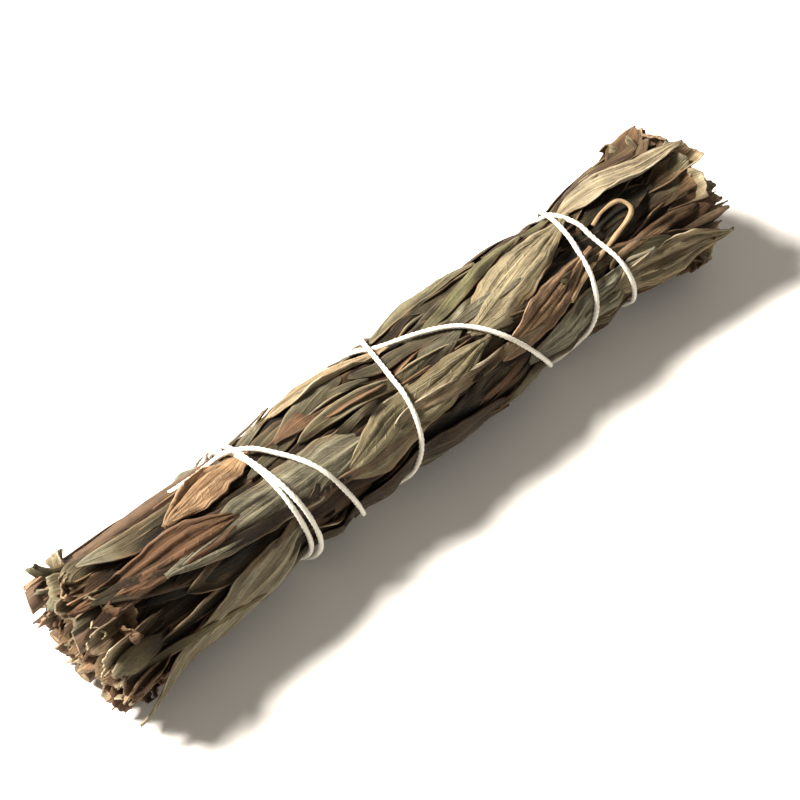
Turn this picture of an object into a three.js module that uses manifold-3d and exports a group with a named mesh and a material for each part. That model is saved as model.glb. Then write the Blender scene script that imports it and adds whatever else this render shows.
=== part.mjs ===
// A dried herb smudge stick lying on its side: eight leafy mugwort sprigs pressed into one bundle and bound
// with a single cotton thread that is wound to the tip, wound back over itself, and knotted.
// Millimetres, +X from the butt to the tip, +Z up, origin on the table under the middle of the bundle.
import * as THREE from "three";
import { mergeVertices } from "three/addons/utils/BufferGeometryUtils.js";
import Module from "manifold-3d";

const wasm = await Module();
wasm.setup();

// Driving dimensions
const LENGTH = 120; // cut end to cut end
const RADIUS = 10.15; // bundle, over the leaves, between two windings
const AXIS_HEIGHT = 9.6; // bundle axis above the table: less than RADIUS, so that the underside is flat
const END_FLARE = 0.9; // how much wider the bundle gets where it is no longer bound
const LEAF_LAYER = 1.25; // depth of the outer leaves over the packed core
const PINCH_DEPTH = 1.35; // how far the thread draws the bundle in
const PINCH_REACH = 4.2; // how far along the surface that is felt
const THREAD = 0.85; // thread diameter
const GAP = 0.3; // between neighbouring pieces
const TABLE_GAP = 0.35; // between the thread and the table
const BLADE = 0.72; // leaf thickness
// Grid steps for the finished vertices, tried in turn
const GRID_STEPS = [0.04, 0.045, 0.05, 0.035, 0.03, 0.055, 0.06, 0.025, 0.02, 0.015];
const GRID_SHIFTS = [0, 1 / 3, 2 / 3]; // of the grid along the axis, in steps
const TOUCH = 0.002; // closer than this, a point counts as touching a side
const THINNEST = 0.012; // height of the flattest triangle to keep

// The sprigs: one in the heart and seven round it, with boundaries that lean and turn like shingles
const RING_SPRIGS = 7;
const HEART_RADIUS = 3.7;
const RING_START = 0.25; // angle of the first ring sprig at mid length, radians
const TWIST = 0.5; // turn of the sprigs from butt to tip, radians
const WOBBLE = 0.07; // sway of the boundaries, radians
const SHINGLE = 0.075; // lean of the boundaries, radians for each millimetre outwards
const REVERSED = [2, 5]; // sprigs laid tip to butt
const SURFACE_STEMS = [1, 5]; // sprigs whose stem lies at the surface near its cut end
const OUTER_LEAVES = 7; // on each ring sprig
const END_LEAVES = 3; // standing out of each end of each sprig

// Single leaves wrapped over the sprigs and held by the thread alone, each its own piece:
// root and tip as [distance along the axis, angle in degrees], width, and how far the tip springs out
const WRAP_LEAVES = [
  { name: "olive_point", root: [-25, 158], tip: [-58.5, 200], width: 8, spring: 2.2, tint: "olive" },
  { name: "olive_butt", root: [-11, 124], tip: [-46, 116], width: 8.5, spring: 0.3, tint: "olive" },
  { name: "caramel", root: [-25, 62], tip: [-42, 88], width: 6.5, spring: 0.6, tint: "caramel" },
  { name: "russet_butt", root: [-33, 112], tip: [-59, 97], width: 5, spring: 0.2, tint: "russet" },
  { name: "straw_ridge", root: [-20, 50], tip: [3, 64], width: 6, spring: 0.2, tint: "straw" },
  { name: "olive_middle", root: [-17, 142], tip: [13, 120], width: 8.5, spring: 0.2, tint: "olive" },
  { name: "dark_side", root: [12, 186], tip: [-20, 180], width: 6.5, spring: 0.3, tint: "dark" },
  { name: "yellow_top", root: [11, 108], tip: [37, 72], width: 8, spring: 0.2, tint: "straw" },
  { name: "brown_fold", root: [13, 146], tip: [35, 112], width: 6, spring: 0.5, tint: "russet" },
  { name: "olive_side", root: [18, 176], tip: [44, 146], width: 7, spring: 0.3, tint: "olive" },
  { name: "pale_tip", root: [35, 158], tip: [58.5, 172], width: 7, spring: 1.2, tint: "straw" },
  { name: "tan_tip", root: [36, 58], tip: [58, 92], width: 6.5, spring: 1.5, tint: "caramel" },
  { name: "back_butt", root: [-46, 342], tip: [-12, 366], width: 8, spring: 0.2, tint: "olive" },
  { name: "back_middle", root: [24, 340], tip: [-8, 336], width: 7.5, spring: 0.2, tint: "russet" },
  { name: "back_tip", root: [18, 372], tip: [53, 358], width: 8, spring: 1.5, tint: "dark" },
  { name: "back_ridge", root: [22, 398], tip: [-6, 388], width: 6.5, spring: 0.2, tint: "olive" },
];

// The thread's route over the surface: turned angle in degrees, distance along the axis
const THREAD_ROUTE = [
  [40, -26.8], [118, -26.2], [208, -25.6], [298, -32], [388, -37.2], [415, -28], [478, -20], [568, -15],
  [658, -8], [748, -3], [773, -1.1], [819, 10.7], [903, 20.8], [1018, 29], [1108, 34.2], [1133, 35.2],
  [1263, 39], [1378, 41], [1468, 37], [1493, 34.8], [1623, 30], [1738, 14], [1828, 1.5], [1853, -1.1],
  [1983, -5.6], [2098, -17], [2188, -25], [2213, -27], [2343, -24.2], [2458, -27.5], [2560, -28.6],
];
const TURN_BACK = 1263; // degrees turned at the tip: past this the thread winds back over itself
const THREAD_STEP = 20; // degrees between two sections of the thread
const THREAD_SIDES = 5;
const KNOT_RADIUS = 0.75;
// The two cut ends at the knot: degrees and distance from it, and height over the leaves
const TAIL_ROUTES = [
  [[-12, -1.8, 1.5], [-28, -3.2, 0.9], [-44, -4.2, 0.8], [-58, -5.2, 1.2]],
  [[-8, 3, 1.5], [-20, 6, 1.2], [-28, 9.5, 1.4]],
];
// A thin dry stalk lying on the bundle with its end curled over: angle, distance, height over the leaves
const STALK_ROUTE = [
  [138, 27, -0.2], [128, 33, 0], [119, 39.5, 0.2], [108, 44, 1],
  [97, 43.5, 1.7], [94, 40.5, 1.8], [97, 38, 1.4],
];
const STALK_RADIUS = 0.45;

const TAU = Math.PI * 2;
const radians = THREE.MathUtils.degToRad;
const clamp = THREE.MathUtils.clamp;
const smoothstep = THREE.MathUtils.smoothstep;

// Repeatable draw between 0 and 1
function draw(k) {
  const s = Math.sin(k * 12.9898 + 4.1414) * 43758.5453;
  return s - Math.floor(s);
}

// Repeatable draw between low and high
function between(k, low, high) {
  return low + draw(k) * (high - low);
}

// The thread's route as one smooth curve in (angle, distance)
const routeCurve = new THREE.CatmullRomCurve3(
  THREAD_ROUTE.map(([turned, x]) => new THREE.Vector3(turned, x * 10, 0)),
  false,
  "centripetal",
);
const ROUTE_SAMPLES = 1400;
const routeSamples = routeCurve.getPoints(ROUTE_SAMPLES).map((p) => ({ turned: p.x, x: p.y / 10 }));

// Where the route is, along the axis, once it has turned so far
function routeAt(turned) {
  let k = routeSamples.findIndex((s) => s.turned >= turned);
  if (k < 1) k = k < 0 ? routeSamples.length - 1 : 1;
  const a = routeSamples[k - 1];
  const b = routeSamples[k];
  const share = clamp((turned - a.turned) / Math.max(b.turned - a.turned, 1e-6), 0, 1);
  return a.x + (b.x - a.x) * share;
}

// Distance over the surface from a point to the nearest stretch of thread
function threadDistance(x, angle) {
  const first = THREAD_ROUTE[0][0];
  const last = THREAD_ROUTE.at(-1)[0];
  const degrees = THREE.MathUtils.radToDeg(angle);
  let nearest = Infinity;
  for (let turned = degrees - 360 * Math.ceil((degrees - first) / 360); turned <= last; turned += 360) {
    if (turned < first) continue;
    const slope = (routeAt(turned + 4) - routeAt(turned - 4)) / (2 * radians(4) * RADIUS);
    nearest = Math.min(nearest, Math.abs(x - routeAt(turned)) / Math.hypot(1, slope));
  }
  return nearest;
}

// Radius over the leaves at a point of the surface
function envelope(x, angle) {
  const flare = END_FLARE * Math.pow(Math.abs(x) / (LENGTH / 2), 4);
  const pinch = PINCH_DEPTH * Math.exp(-Math.pow(threadDistance(x, angle) / PINCH_REACH, 2));
  const bulge = 0.25 * Math.sin(3 * angle + x * 0.11) + 0.2 * Math.sin(5 * angle - x * 0.17);
  return RADIUS + flare + bulge - pinch;
}

// A point of the bundle from its place along the axis, its angle and its radius
function place(x, angle, radius) {
  return new THREE.Vector3(x, radius * Math.cos(angle), AXIS_HEIGHT + radius * Math.sin(angle));
}

// Angle by which the sprigs have turned at a place along the axis
function turnAt(x) {
  return (TWIST * x) / LENGTH + WOBBLE * Math.sin(x * 0.13);
}

// Angle of the middle of a ring sprig
function sprigAngle(sprig, x) {
  return RING_START + (TAU * (sprig - 1)) / RING_SPRIGS + turnAt(x);
}

// A closed geometry as a solid that can be joined and cut
function solidOf(geometry) {
  const bare = new THREE.BufferGeometry().setAttribute("position", geometry.getAttribute("position"));
  if (geometry.index) bare.setIndex(geometry.index);
  const merged = mergeVertices(bare, 1e-4);
  const corners = merged.index.array;
  const kept = [];
  for (let i = 0; i < corners.length; i += 3) {
    const [a, b, c] = corners.slice(i, i + 3);
    if (a !== b && b !== c && a !== c) kept.push(a, b, c);
  }
  const made = new wasm.Manifold(
    new wasm.Mesh({
      numProp: 3,
      vertProperties: merged.getAttribute("position").array,
      triVerts: new Uint32Array(kept),
    }),
  );
  if (made.volume() > 0) return made;
  for (let i = 0; i < kept.length; i += 3) [kept[i + 1], kept[i + 2]] = [kept[i + 2], kept[i + 1]];
  return new wasm.Manifold(
    new wasm.Mesh({
      numProp: 3,
      vertProperties: merged.getAttribute("position").array,
      triVerts: new Uint32Array(kept),
    }),
  );
}

// A solid as a geometry
function geometryOf(solid) {
  const mesh = solid.getMesh();
  const points = new Float32Array(mesh.numVert * 3);
  for (let i = 0; i < mesh.numVert; i++) {
    points.set(mesh.vertProperties.subarray(i * mesh.numProp, i * mesh.numProp + 3), i * 3);
  }
  const geometry = new THREE.BufferGeometry();
  geometry.setAttribute("position", new THREE.BufferAttribute(points, 3));
  geometry.setIndex(new THREE.BufferAttribute(mesh.triVerts, 1));
  geometry.computeVertexNormals();
  return geometry;
}

// Moves every vertex of a geometry by a rule
function reshape(geometry, rule) {
  const position = geometry.getAttribute("position");
  for (let i = 0; i < position.count; i++) {
    const p = rule(position.getX(i), position.getY(i), position.getZ(i));
    position.setXYZ(i, p.x, p.y, p.z);
  }
  return geometry;
}

// The packed leaves under the outer ones, drawn in where the thread passes
function coreSolid() {
  const ends = LENGTH / 2 - 5.5;
  const cylinder = new THREE.CylinderGeometry(1, 1, 2 * ends, RING_SPRIGS * 2, 11);
  return solidOf(
    reshape(cylinder, (u, x, v) => {
      const share = Math.hypot(u, v);
      const angle = Math.atan2(v, u);
      const end = x + 1.2 * Math.sin(3 * angle + x) * smoothstep(Math.abs(x), ends - 4, ends);
      return place(end, angle, share * (envelope(x, angle) - LEAF_LAYER));
    }),
  );
}

// Corners of a regular polygon
function polygon(radius, sides) {
  return Array.from({ length: sides }, (_, k) => {
    const angle = (TAU * k) / sides;
    return new THREE.Vector2(radius * Math.cos(angle), radius * Math.sin(angle));
  });
}

// The space of one ring sprig: a sector whose sides lean and turn
function ringCell(sprig) {
  const half = Math.PI / RING_SPRIGS;
  const reach = RADIUS + 8;
  const side = (radius, sign) => {
    const angle = sign * (half - (GAP * 0.55) / radius) + SHINGLE * (radius - HEART_RADIUS);
    return new THREE.Vector2(radius * Math.cos(angle), radius * Math.sin(angle));
  };
  const outwards = [HEART_RADIUS, 7, 10.4, reach];
  const leanAt = SHINGLE * (reach - HEART_RADIUS);
  const corners = [
    ...outwards.map((radius) => side(radius, -1)),
    new THREE.Vector2(reach * 1.1 * Math.cos(leanAt), reach * 1.1 * Math.sin(leanAt)),
    ...outwards.toReversed().map((radius) => side(radius, 1)),
    new THREE.Vector2(HEART_RADIUS, 0),
  ];
  return turnedPrism(corners, RING_START + (TAU * (sprig - 1)) / RING_SPRIGS);
}

// The space of the heart sprig
function heartCell() {
  return turnedPrism(polygon(HEART_RADIUS - GAP, 2 * RING_SPRIGS), RING_START);
}

// A prism along the axis that turns with the sprigs
function turnedPrism(corners, start) {
  const over = LENGTH + 8;
  const settings = { depth: over, steps: 8, bevelEnabled: false };
  const prism = new THREE.ExtrudeGeometry(new THREE.Shape(corners), settings);
  return solidOf(
    reshape(prism, (u, v, depth) => {
      const x = depth - over / 2;
      return place(x, Math.atan2(v, u) + start + turnAt(x), Math.hypot(u, v));
    }),
  );
}

// Half width of a lance-shaped leaf, as a share of its widest, from root (0) to tip (1)
function lance(v) {
  return v < 0.01 || v > 0.99 ? 0 : Math.pow(Math.sin(Math.PI * Math.pow(v, 0.8)), 0.8);
}

// A leaf of a sprig, pressed on the bundle. It runs from its root, sunk in the core, to its raised tip
function outerLeaf(leaf) {
  const blade = new THREE.BoxGeometry(2, 1, 1, 2, 4, 1);
  return solidOf(
    reshape(blade, (across, along, through) => {
      const v = along + 0.5;
      const wave = 1 + 0.22 * Math.sin(9 * v + leaf.phase + across * 2);
      const w = across * (leaf.width / 2) * lance(v) * wave;
      const x = leaf.x + leaf.direction * v * leaf.length * Math.cos(leaf.lean) + w * Math.sin(leaf.lean);
      const drift = (v * leaf.length * Math.sin(leaf.lean) + w * Math.cos(leaf.lean)) / RADIUS;
      const angle = leaf.angle + drift + (turnAt(x) - turnAt(leaf.x)) * 0.7;
      const packed = envelope(x, angle) - LEAF_LAYER;
      const lift = leaf.sink + (leaf.rise - leaf.sink) * Math.pow(v, 0.7) + leaf.cup * across * across;
      const top = packed + Math.min(lift, LEAF_LAYER) + leaf.flare * smoothstep(v, 0.7, 1);
      const free = smoothstep(v, 0.6, 1);
      const under = (top - BLADE) * free + (packed - 0.9) * (1 - free);
      return place(x, angle, through < 0 ? under : top);
    }),
  );
}

// Where the outer leaves of a ring sprig sit
function outerLeaves(sprig) {
  const columns = [-0.62, 0.08, 0.7];
  const leaves = [];
  for (let j = 0; j < OUTER_LEAVES; j++) {
    const seed = sprig * 131 + j * 7;
    const direction = draw(seed + 1) < (REVERSED.includes(sprig) ? 0.7 : 0.25) ? -1 : 1;
    const length = between(seed + 2, 24, 33);
    const trim = between(seed + 13, 0.6, 2.4);
    const share = (j + draw(seed + 3) * 0.8) / OUTER_LEAVES;
    const start = -LENGTH / 2 + trim + share * (LENGTH - length - 2 * trim);
    const x = direction > 0 ? start : start + length;
    const column = columns[j % 3] + between(seed + 4, -0.14, 0.14);
    leaves.push({
      x,
      length,
      direction,
      angle: sprigAngle(sprig, x) + SHINGLE * (RADIUS - HEART_RADIUS) + (column * Math.PI) / RING_SPRIGS,
      width: between(seed + 5, 5.2, 7),
      lean: between(seed + 6, -0.16, 0.16),
      phase: draw(seed + 7) * TAU,
      sink: between(seed + 8, -0.75, -0.3),
      rise: between(seed + 9, 0.7, 1.25),
      cup: between(seed + 10, -0.35, 0.3),
      flare: draw(seed + 11) < 0.25 ? between(seed + 12, 0.3, 1.1) : 0,
    });
  }
  return leaves;
}

// A single leaf wrapped over the sprigs. With room, it is the space that the sprigs leave for it
function wrapLeaf(leaf, room) {
  const [rootX, rootDegrees] = leaf.root;
  const [tipX, tipDegrees] = leaf.tip;
  const swing = radians(tipDegrees - rootDegrees);
  const run = Math.hypot(tipX - rootX, swing * RADIUS);
  const alongAxis = (tipX - rootX) / run;
  const around = (swing * RADIUS) / run;
  const seed = rootX * 3 + rootDegrees;
  const blade = new THREE.BoxGeometry(2, 1, 1, 2, 5, 1);
  return solidOf(
    reshape(blade, (across, along, through) => {
      const v = along + 0.5;
      const wave = 1 + 0.12 * Math.sin(8 * v + seed + across * 2);
      const w = across * ((leaf.width / 2) * Math.max(lance(v), 0.06) * wave + room);
      const far = room > 0 ? (v - 0.5) * (1 + (2 * room) / run) + 0.5 : v;
      const x = rootX + far * run * alongAxis + w * around;
      const angle = radians(rootDegrees) + (far * run * around - w * alongAxis) / RADIUS;
      const top = envelope(x, angle) + 0.4 - 0.25 * across * across + leaf.spring * smoothstep(v, 0.65, 1);
      return place(x, angle, through < 0 ? top - BLADE - room : top + room * 8);
    }),
  );
}

// A leaf cut off at the end of the bundle, seen on its edge
function endLeaf(sprig, k, end) {
  const seed = sprig * 173 + k * 11 + (end > 0 ? 4000 : 2000);
  const deep = sprig === 0 ? between(seed, 1, 2.6) : [5.2, 8.1, 6.6][k] + between(seed, -0.4, 0.4);
  const middle = sprigAngle(Math.max(sprig, 1), end * 56) + SHINGLE * (deep - HEART_RADIUS);
  const angle = sprig === 0 ? (TAU * k) / END_LEAVES : middle + between(seed + 1, -0.6, 0.6) / (deep / 5);
  const half = between(seed + 2, 1.4, 2.4);
  const bow = between(seed + 3, -0.7, 0.7);
  const tilt = between(seed + 4, -0.5, 0.5);
  const stick = between(seed + 5, 0, 3);
  const spread = between(seed + 6, 0.2, 1.1);
  const blade = new THREE.BoxGeometry(2, 1, 1, 2, 1, 1);
  return solidOf(
    reshape(blade, (across, along, through) => {
      const v = along + 0.5;
      const x = end * (LENGTH / 2 - 11 + v * (11 - stick) - 0.9 * v * Math.abs(across));
      const turned = angle + (across * half * Math.cos(tilt)) / deep;
      const radius = deep + bow * across * across + across * half * Math.sin(tilt) + spread * v * v;
      return place(x, turned, radius + (through > 0 ? BLADE / 2 : -BLADE / 2));
    }),
  );
}

// Centre line of a sprig's stem: radius and angle at a place along the axis
function stemLine(sprig, x) {
  const butt = REVERSED.includes(sprig) ? x : -x;
  if (sprig === 0) return { radius: 0.5, angle: 1 };
  const deep = 6.9;
  const shown = SURFACE_STEMS.includes(sprig) ? 1.7 * smoothstep(butt, -8, 24) : 0;
  const radius = deep + shown + 0.25 * Math.sin(x * 0.12 + sprig);
  return { radius, angle: sprigAngle(sprig, x) + SHINGLE * (radius - HEART_RADIUS) };
}

// A woody stem, cut on a slant at the butt and tapering to its tip
function stemSolid(sprig, extra) {
  const towards = REVERSED.includes(sprig) ? 1 : -1;
  const cut = between(sprig * 29 + 1, 0, 2.4);
  const slant = between(sprig * 29 + 2, -0.5, 0.5);
  const thick = between(sprig * 29 + 3, 1.15, 1.45);
  const span = between(sprig * 29 + 4, 88, 112);
  const cylinder = new THREE.CylinderGeometry(1, 1, 1, 7, 5);
  return solidOf(
    reshape(cylinder, (u, along, v) => {
      const butt = along + 0.5;
      const radius = thick * (0.55 + 0.45 * butt) * (1 + 0.1 * Math.sin(butt * 26)) + extra;
      const atButt = butt > 0.999 ? 1 : 0;
      const inwards = span * (1 - butt) - (butt > 0.5 ? extra * 8 : -extra) - slant * u * atButt;
      const x = towards * (LENGTH / 2 - cut - inwards);
      const line = stemLine(sprig, clamp(x, -LENGTH / 2, LENGTH / 2));
      const centre = place(x, line.angle, line.radius);
      return new THREE.Vector3(x, centre.y + u * radius, centre.z + v * radius);
    }),
  );
}

// Joins several solids
function joined(solids) {
  return solids.reduce((whole, solid) => whole.add(solid));
}

// Keeps the main body of a solid, so that no loose scrap is left
function mainBody(solid) {
  return solid.decompose().reduce((largest, body) => (body.volume() > largest.volume() ? body : largest));
}

// Height of a triangle over its longest side, and which side that is
function flatness(points, face) {
  const corners = face.map((n) => points[n]);
  const sides = corners.map((p, k) => p.distanceTo(corners[(k + 1) % 3]));
  const longest = Math.max(...sides);
  return { height: (2 * new THREE.Triangle(...corners).getArea()) / longest, side: sides.indexOf(longest) };
}

// The height of the flattest of several triangles
function flattest(points, faces) {
  return faces.reduce((least, face) => Math.min(least, flatness(points, face).height), Infinity);
}

// Swaps the long side that a flat triangle shares with its neighbour for the other diagonal of the two
function swapFlatSides(points, faces) {
  const beside = new Map();
  faces.forEach((face, n) => face.forEach((a, k) => beside.set(a + " " + face[(k + 1) % 3], n)));
  const swapped = new Set();
  faces.forEach((face, n) => {
    const { height, side } = flatness(points, face);
    if (height >= THINNEST) return;
    const [a, b, c] = [0, 1, 2].map((k) => face[(side + k) % 3]);
    const other = beside.get(b + " " + a);
    if (swapped.has(n) || swapped.has(other)) return;
    const d = faces[other].find((p) => p !== a && p !== b);
    const pair = [
      [a, d, c],
      [d, b, c],
    ];
    if (beside.has(c + " " + d) || beside.has(d + " " + c) || flattest(points, pair) <= height) return;
    [faces[n], faces[other]] = pair;
    beside.set(c + " " + d, n).set(d + " " + c, other);
    swapped.add(n).add(other);
  });
  return swapped.size > 0;
}

// Whether the faces round each point make a single fan
function singleFans(faces) {
  const next = new Map();
  for (const face of faces) {
    face.forEach((a, k) => {
      if (!next.has(a)) next.set(a, new Map());
      next.get(a).set(face[(k + 1) % 3], face[(k + 2) % 3]);
    });
  }
  return [...next.values()].every((fan) => {
    const first = fan.keys().next().value;
    let count = 1;
    for (let at = fan.get(first); at !== first; at = fan.get(at)) count++;
    return count === fan.size;
  });
}

// Whether every point keeps clear of the sides that it isn't on
function sidesClear(points, faces) {
  const nearest = new THREE.Vector3();
  return faces.every((face) =>
    face.every((a, k) => {
      const b = face[(k + 1) % 3];
      if (a > b) return true;
      const [p, q] = [points[a], points[b]];
      const box = new THREE.Box3().setFromPoints([p, q]).expandByScalar(TOUCH);
      const side = new THREE.Line3(p, q);
      return points.every((r, n) => {
        if (n === a || n === b || !box.containsPoint(r)) return true;
        return side.closestPointToPoint(r, true, nearest).distanceTo(r) > TOUCH;
      });
    }),
  );
}

// The points and faces of a solid with its vertices on a grid, or null if that isn't closed
function onGrid(solid, step, shift) {
  const mesh = solid.getMesh();
  const numbers = new Map();
  const points = [];
  const corner = (i) => {
    const [x, y, z] = [0, 1, 2].map((k) => mesh.vertProperties[i * mesh.numProp + k] / step);
    const at = [Math.round(x + shift), Math.round(y), Math.round(z)];
    const key = at.join(" ");
    if (!numbers.has(key)) {
      numbers.set(key, points.length);
      points.push(new THREE.Vector3(at[0] - shift, at[1], at[2]).multiplyScalar(step));
    }
    return numbers.get(key);
  };
  const kept = new Map();
  for (let i = 0; i < mesh.triVerts.length; i += 3) {
    const face = [0, 1, 2].map((k) => corner(mesh.triVerts[i + k]));
    if (new Set(face).size < 3) continue;
    const key = face.toSorted((a, b) => a - b).join(" ");
    if (kept.has(key)) kept.delete(key); // two faces back to back enclose nothing
    else kept.set(key, face);
  }
  const faces = [...kept.values()];
  const edges = faces.flatMap((face) => face.map((a, k) => a + " " + face[(k + 1) % 3]));
  const once = new Set(edges);
  const paired = edges.every((edge) => once.has(edge.split(" ").reverse().join(" ")));
  return once.size === edges.length && paired ? { points, faces } : null;
}

// The main body of a solid, without its tiniest edges and flattest triangles
function settled(solid) {
  let best = { height: 0 };
  for (const step of GRID_STEPS) {
    const lean = mainBody(solid.simplify(step));
    for (const shift of GRID_SHIFTS) {
      const snapped = best.height < THINNEST && onGrid(lean, step, shift);
      if (!snapped) continue;
      const { points, faces } = snapped;
      while (swapFlatSides(points, faces));
      const clear = singleFans(faces) && sidesClear(points, faces);
      const height = flattest(points, faces) * (clear ? 1 : 0.1);
      if (height > best.height) best = { height, points, faces };
    }
  }
  return new wasm.Manifold(
    new wasm.Mesh({
      numProp: 3,
      vertProperties: new Float32Array(best.points.flatMap((p) => p.toArray())),
      triVerts: new Uint32Array(best.faces.flat()),
    }),
  );
}

// Everything below the table
const belowTable = solidOf(new THREE.BoxGeometry(2 * LENGTH, 60, 20).translate(0, 0, -10));

// The leaves of one sprig, before the thread is wound on
function sprigLeaves(sprig, core, wrapRooms) {
  const cell = sprig === 0 ? heartCell() : ringCell(sprig);
  const ends = [];
  for (const end of [-1, 1]) {
    for (let k = 0; k < END_LEAVES; k++) ends.push(endLeaf(sprig, k, end));
  }
  const outer = sprig === 0 ? [] : outerLeaves(sprig).map(outerLeaf);
  const whole = joined([core, ...ends, ...outer]).intersect(cell).subtract(stemSolid(sprig, GAP));
  return wrapRooms.reduce((left, room) => left.subtract(room), whole).subtract(belowTable);
}

// Outermost radius of the leaves under each sample of the thread, by casting rays at the axis
function surfaceRadius(targets, x, angle) {
  const from = place(x, angle, RADIUS + 10);
  const towards = place(x, angle, 0).sub(from).normalize();
  const hits = new THREE.Raycaster(from, towards).intersectObjects(targets);
  return hits.length ? RADIUS + 10 - hits[0].distance : envelope(x, angle) - LEAF_LAYER;
}

// The thread's centre line, laid taut over the leaves and over the turns that are there already
function threadLine(targets) {
  const first = THREAD_ROUTE[0][0];
  const last = THREAD_ROUTE.at(-1)[0];
  const fine = 5;
  const samples = [];
  for (let turned = first; turned <= last; turned += fine) {
    const x = routeAt(turned);
    const angle = radians(turned);
    const under = [-0.5, 0, 0.5].map((aside) => surfaceRadius(targets, x + aside, angle));
    samples.push({ turned, x, angle, radius: Math.max(...under) + GAP + THREAD / 2 });
  }
  const reach = Math.round(THREAD_STEP / fine);
  const taut = samples.map((s, i) => {
    const near = samples.slice(Math.max(0, i - reach), i + reach + 1).map((n) => n.radius);
    return Math.max(...near) * 0.6 + (near.reduce((sum, r) => sum + r, 0) / near.length) * 0.4;
  });
  const crossing = THREAD + 0.12;
  samples.forEach((s, i) => {
    s.most = (AXIS_HEIGHT - THREAD / 2 - TABLE_GAP) / Math.max(-Math.sin(s.angle), 0.05);
    s.radius = Math.min(taut[i], s.turned < TURN_BACK ? s.most - crossing : s.most);
  });
  samples.forEach((s, i) => {
    const under = s.radius;
    for (const earlier of samples.slice(0, Math.max(0, i - 20))) {
      const turns = Math.round((s.turned - earlier.turned) / 360);
      const around = (radians(s.turned - earlier.turned) - turns * TAU) * RADIUS;
      const apart = Math.hypot(around, s.x - earlier.x);
      const hump = smoothstep(-apart, -4.5, -1.6) * (earlier.radius + crossing - under);
      s.radius = Math.max(s.radius, Math.min(under + hump, s.most));
    }
  });
  return samples
    .filter((s, i) => i % reach === 0 || i === samples.length - 1)
    .map((s) => place(s.x, s.angle, s.radius));
}

// A tube of few sides along a list of points
function tubeSolid(points, radius, sides) {
  const curve = new THREE.CatmullRomCurve3(points, false, "centripetal");
  const tube = new THREE.ExtrudeGeometry(new THREE.Shape(polygon(radius, sides)), {
    steps: points.length - 1,
    extrudePath: curve,
    bevelEnabled: false,
  });
  return solidOf(tube);
}

// A point lying on the leaves, its centre so far above them
function onLeaves(targets, x, degrees, above) {
  const angle = radians(degrees);
  return place(x, angle, surfaceRadius(targets, x, angle) + above);
}

// The loops of the knot
function knotLoop(centre, turn) {
  const loop = new THREE.TorusGeometry(KNOT_RADIUS, THREAD * 0.52, 5, 8);
  return solidOf(loop.rotateX(0.5 + turn).rotateZ(0.7 * turn).translate(centre.x, centre.y, centre.z));
}

const tints = {
  olive: 0x7f7c5e,
  dark: 0x5c5a42,
  straw: 0xa8996f,
  caramel: 0xa57c50,
  russet: 0x80573d,
  stem: 0x9a6f47,
  cotton: 0xece6da,
};
const materials = {};
for (const [name, color] of Object.entries(tints)) {
  materials[name] = new THREE.MeshStandardMaterial({ color, roughness: 0.9 });
}
const SPRIG_TINTS = ["russet", "olive", "olive", "russet", "olive", "dark", "olive", "dark"];
const bundle = new THREE.Group();

function addPiece(name, solid, tint) {
  const mesh = new THREE.Mesh(geometryOf(solid), materials[tint]);
  mesh.name = name;
  bundle.add(mesh);
}

// A wrapped leaf goes under those listed after it
const wraps = WRAP_LEAVES.map((leaf, k) =>
  WRAP_LEAVES.slice(k + 1).reduce((left, over) => left.subtract(wrapLeaf(over, GAP)), wrapLeaf(leaf, 0)),
);
const wrapRooms = WRAP_LEAVES.map((leaf) => wrapLeaf(leaf, GAP));
const core = coreSolid();
const sprigs = [];
for (let sprig = 0; sprig <= RING_SPRIGS; sprig++) sprigs.push(sprigLeaves(sprig, core, wrapRooms));

const targets = [...sprigs, ...wraps].map((solid) => {
  return new THREE.Mesh(geometryOf(solid), new THREE.MeshBasicMaterial({ side: THREE.DoubleSide }));
});
const stalkLine = STALK_ROUTE.map(([degrees, x, above]) => onLeaves(targets, x, degrees, above));
const stalk = tubeSolid(stalkLine, STALK_RADIUS, THREAD_SIDES);
targets.push(new THREE.Mesh(geometryOf(stalk), targets[0].material));
const line = threadLine(targets);
const [knotDegrees, knotX] = THREAD_ROUTE[0];
const knotCentre = line[0].clone().add(new THREE.Vector3(-0.7, 0.4, 0.3));
const tails = TAIL_ROUTES.map((route) => [
  knotCentre,
  ...route.map(([turn, along, above]) => onLeaves(targets, knotX + along, knotDegrees + turn, above)),
]);
const thread = joined([
  tubeSolid(line, THREAD / 2, THREAD_SIDES),
  ...tails.map((points) => tubeSolid(points, THREAD / 2, THREAD_SIDES)),
  knotLoop(knotCentre, 0),
  knotLoop(knotCentre, 1.3),
]);
const threadRoom = joined([
  tubeSolid(line, THREAD / 2 + GAP, THREAD_SIDES),
  ...tails.map((points) => tubeSolid(points, THREAD / 2 + GAP, THREAD_SIDES)),
  solidOf(new THREE.IcosahedronGeometry(1.7, 1).translate(knotCentre.x, knotCentre.y, knotCentre.z)),
]);
const rooms = threadRoom.add(tubeSolid(stalkLine, STALK_RADIUS + GAP, THREAD_SIDES));

sprigs.forEach((solid, sprig) => {
  const name = sprig === 0 ? "heart" : "ring_" + sprig;
  addPiece("leaves_" + name, settled(solid.subtract(rooms)), SPRIG_TINTS[sprig]);
  const stem = wrapRooms.reduce((left, room) => left.subtract(room), stemSolid(sprig, 0));
  addPiece("stem_" + name, settled(stem.subtract(threadRoom)), "stem");
});
WRAP_LEAVES.forEach((leaf, k) => addPiece("wrap_" + leaf.name, settled(wraps[k].subtract(rooms)), leaf.tint));
addPiece("curled_stalk", settled(stalk.subtract(threadRoom)), "stem");
addPiece("binding_thread", settled(thread), "cotton");

export default bundle;
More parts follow.
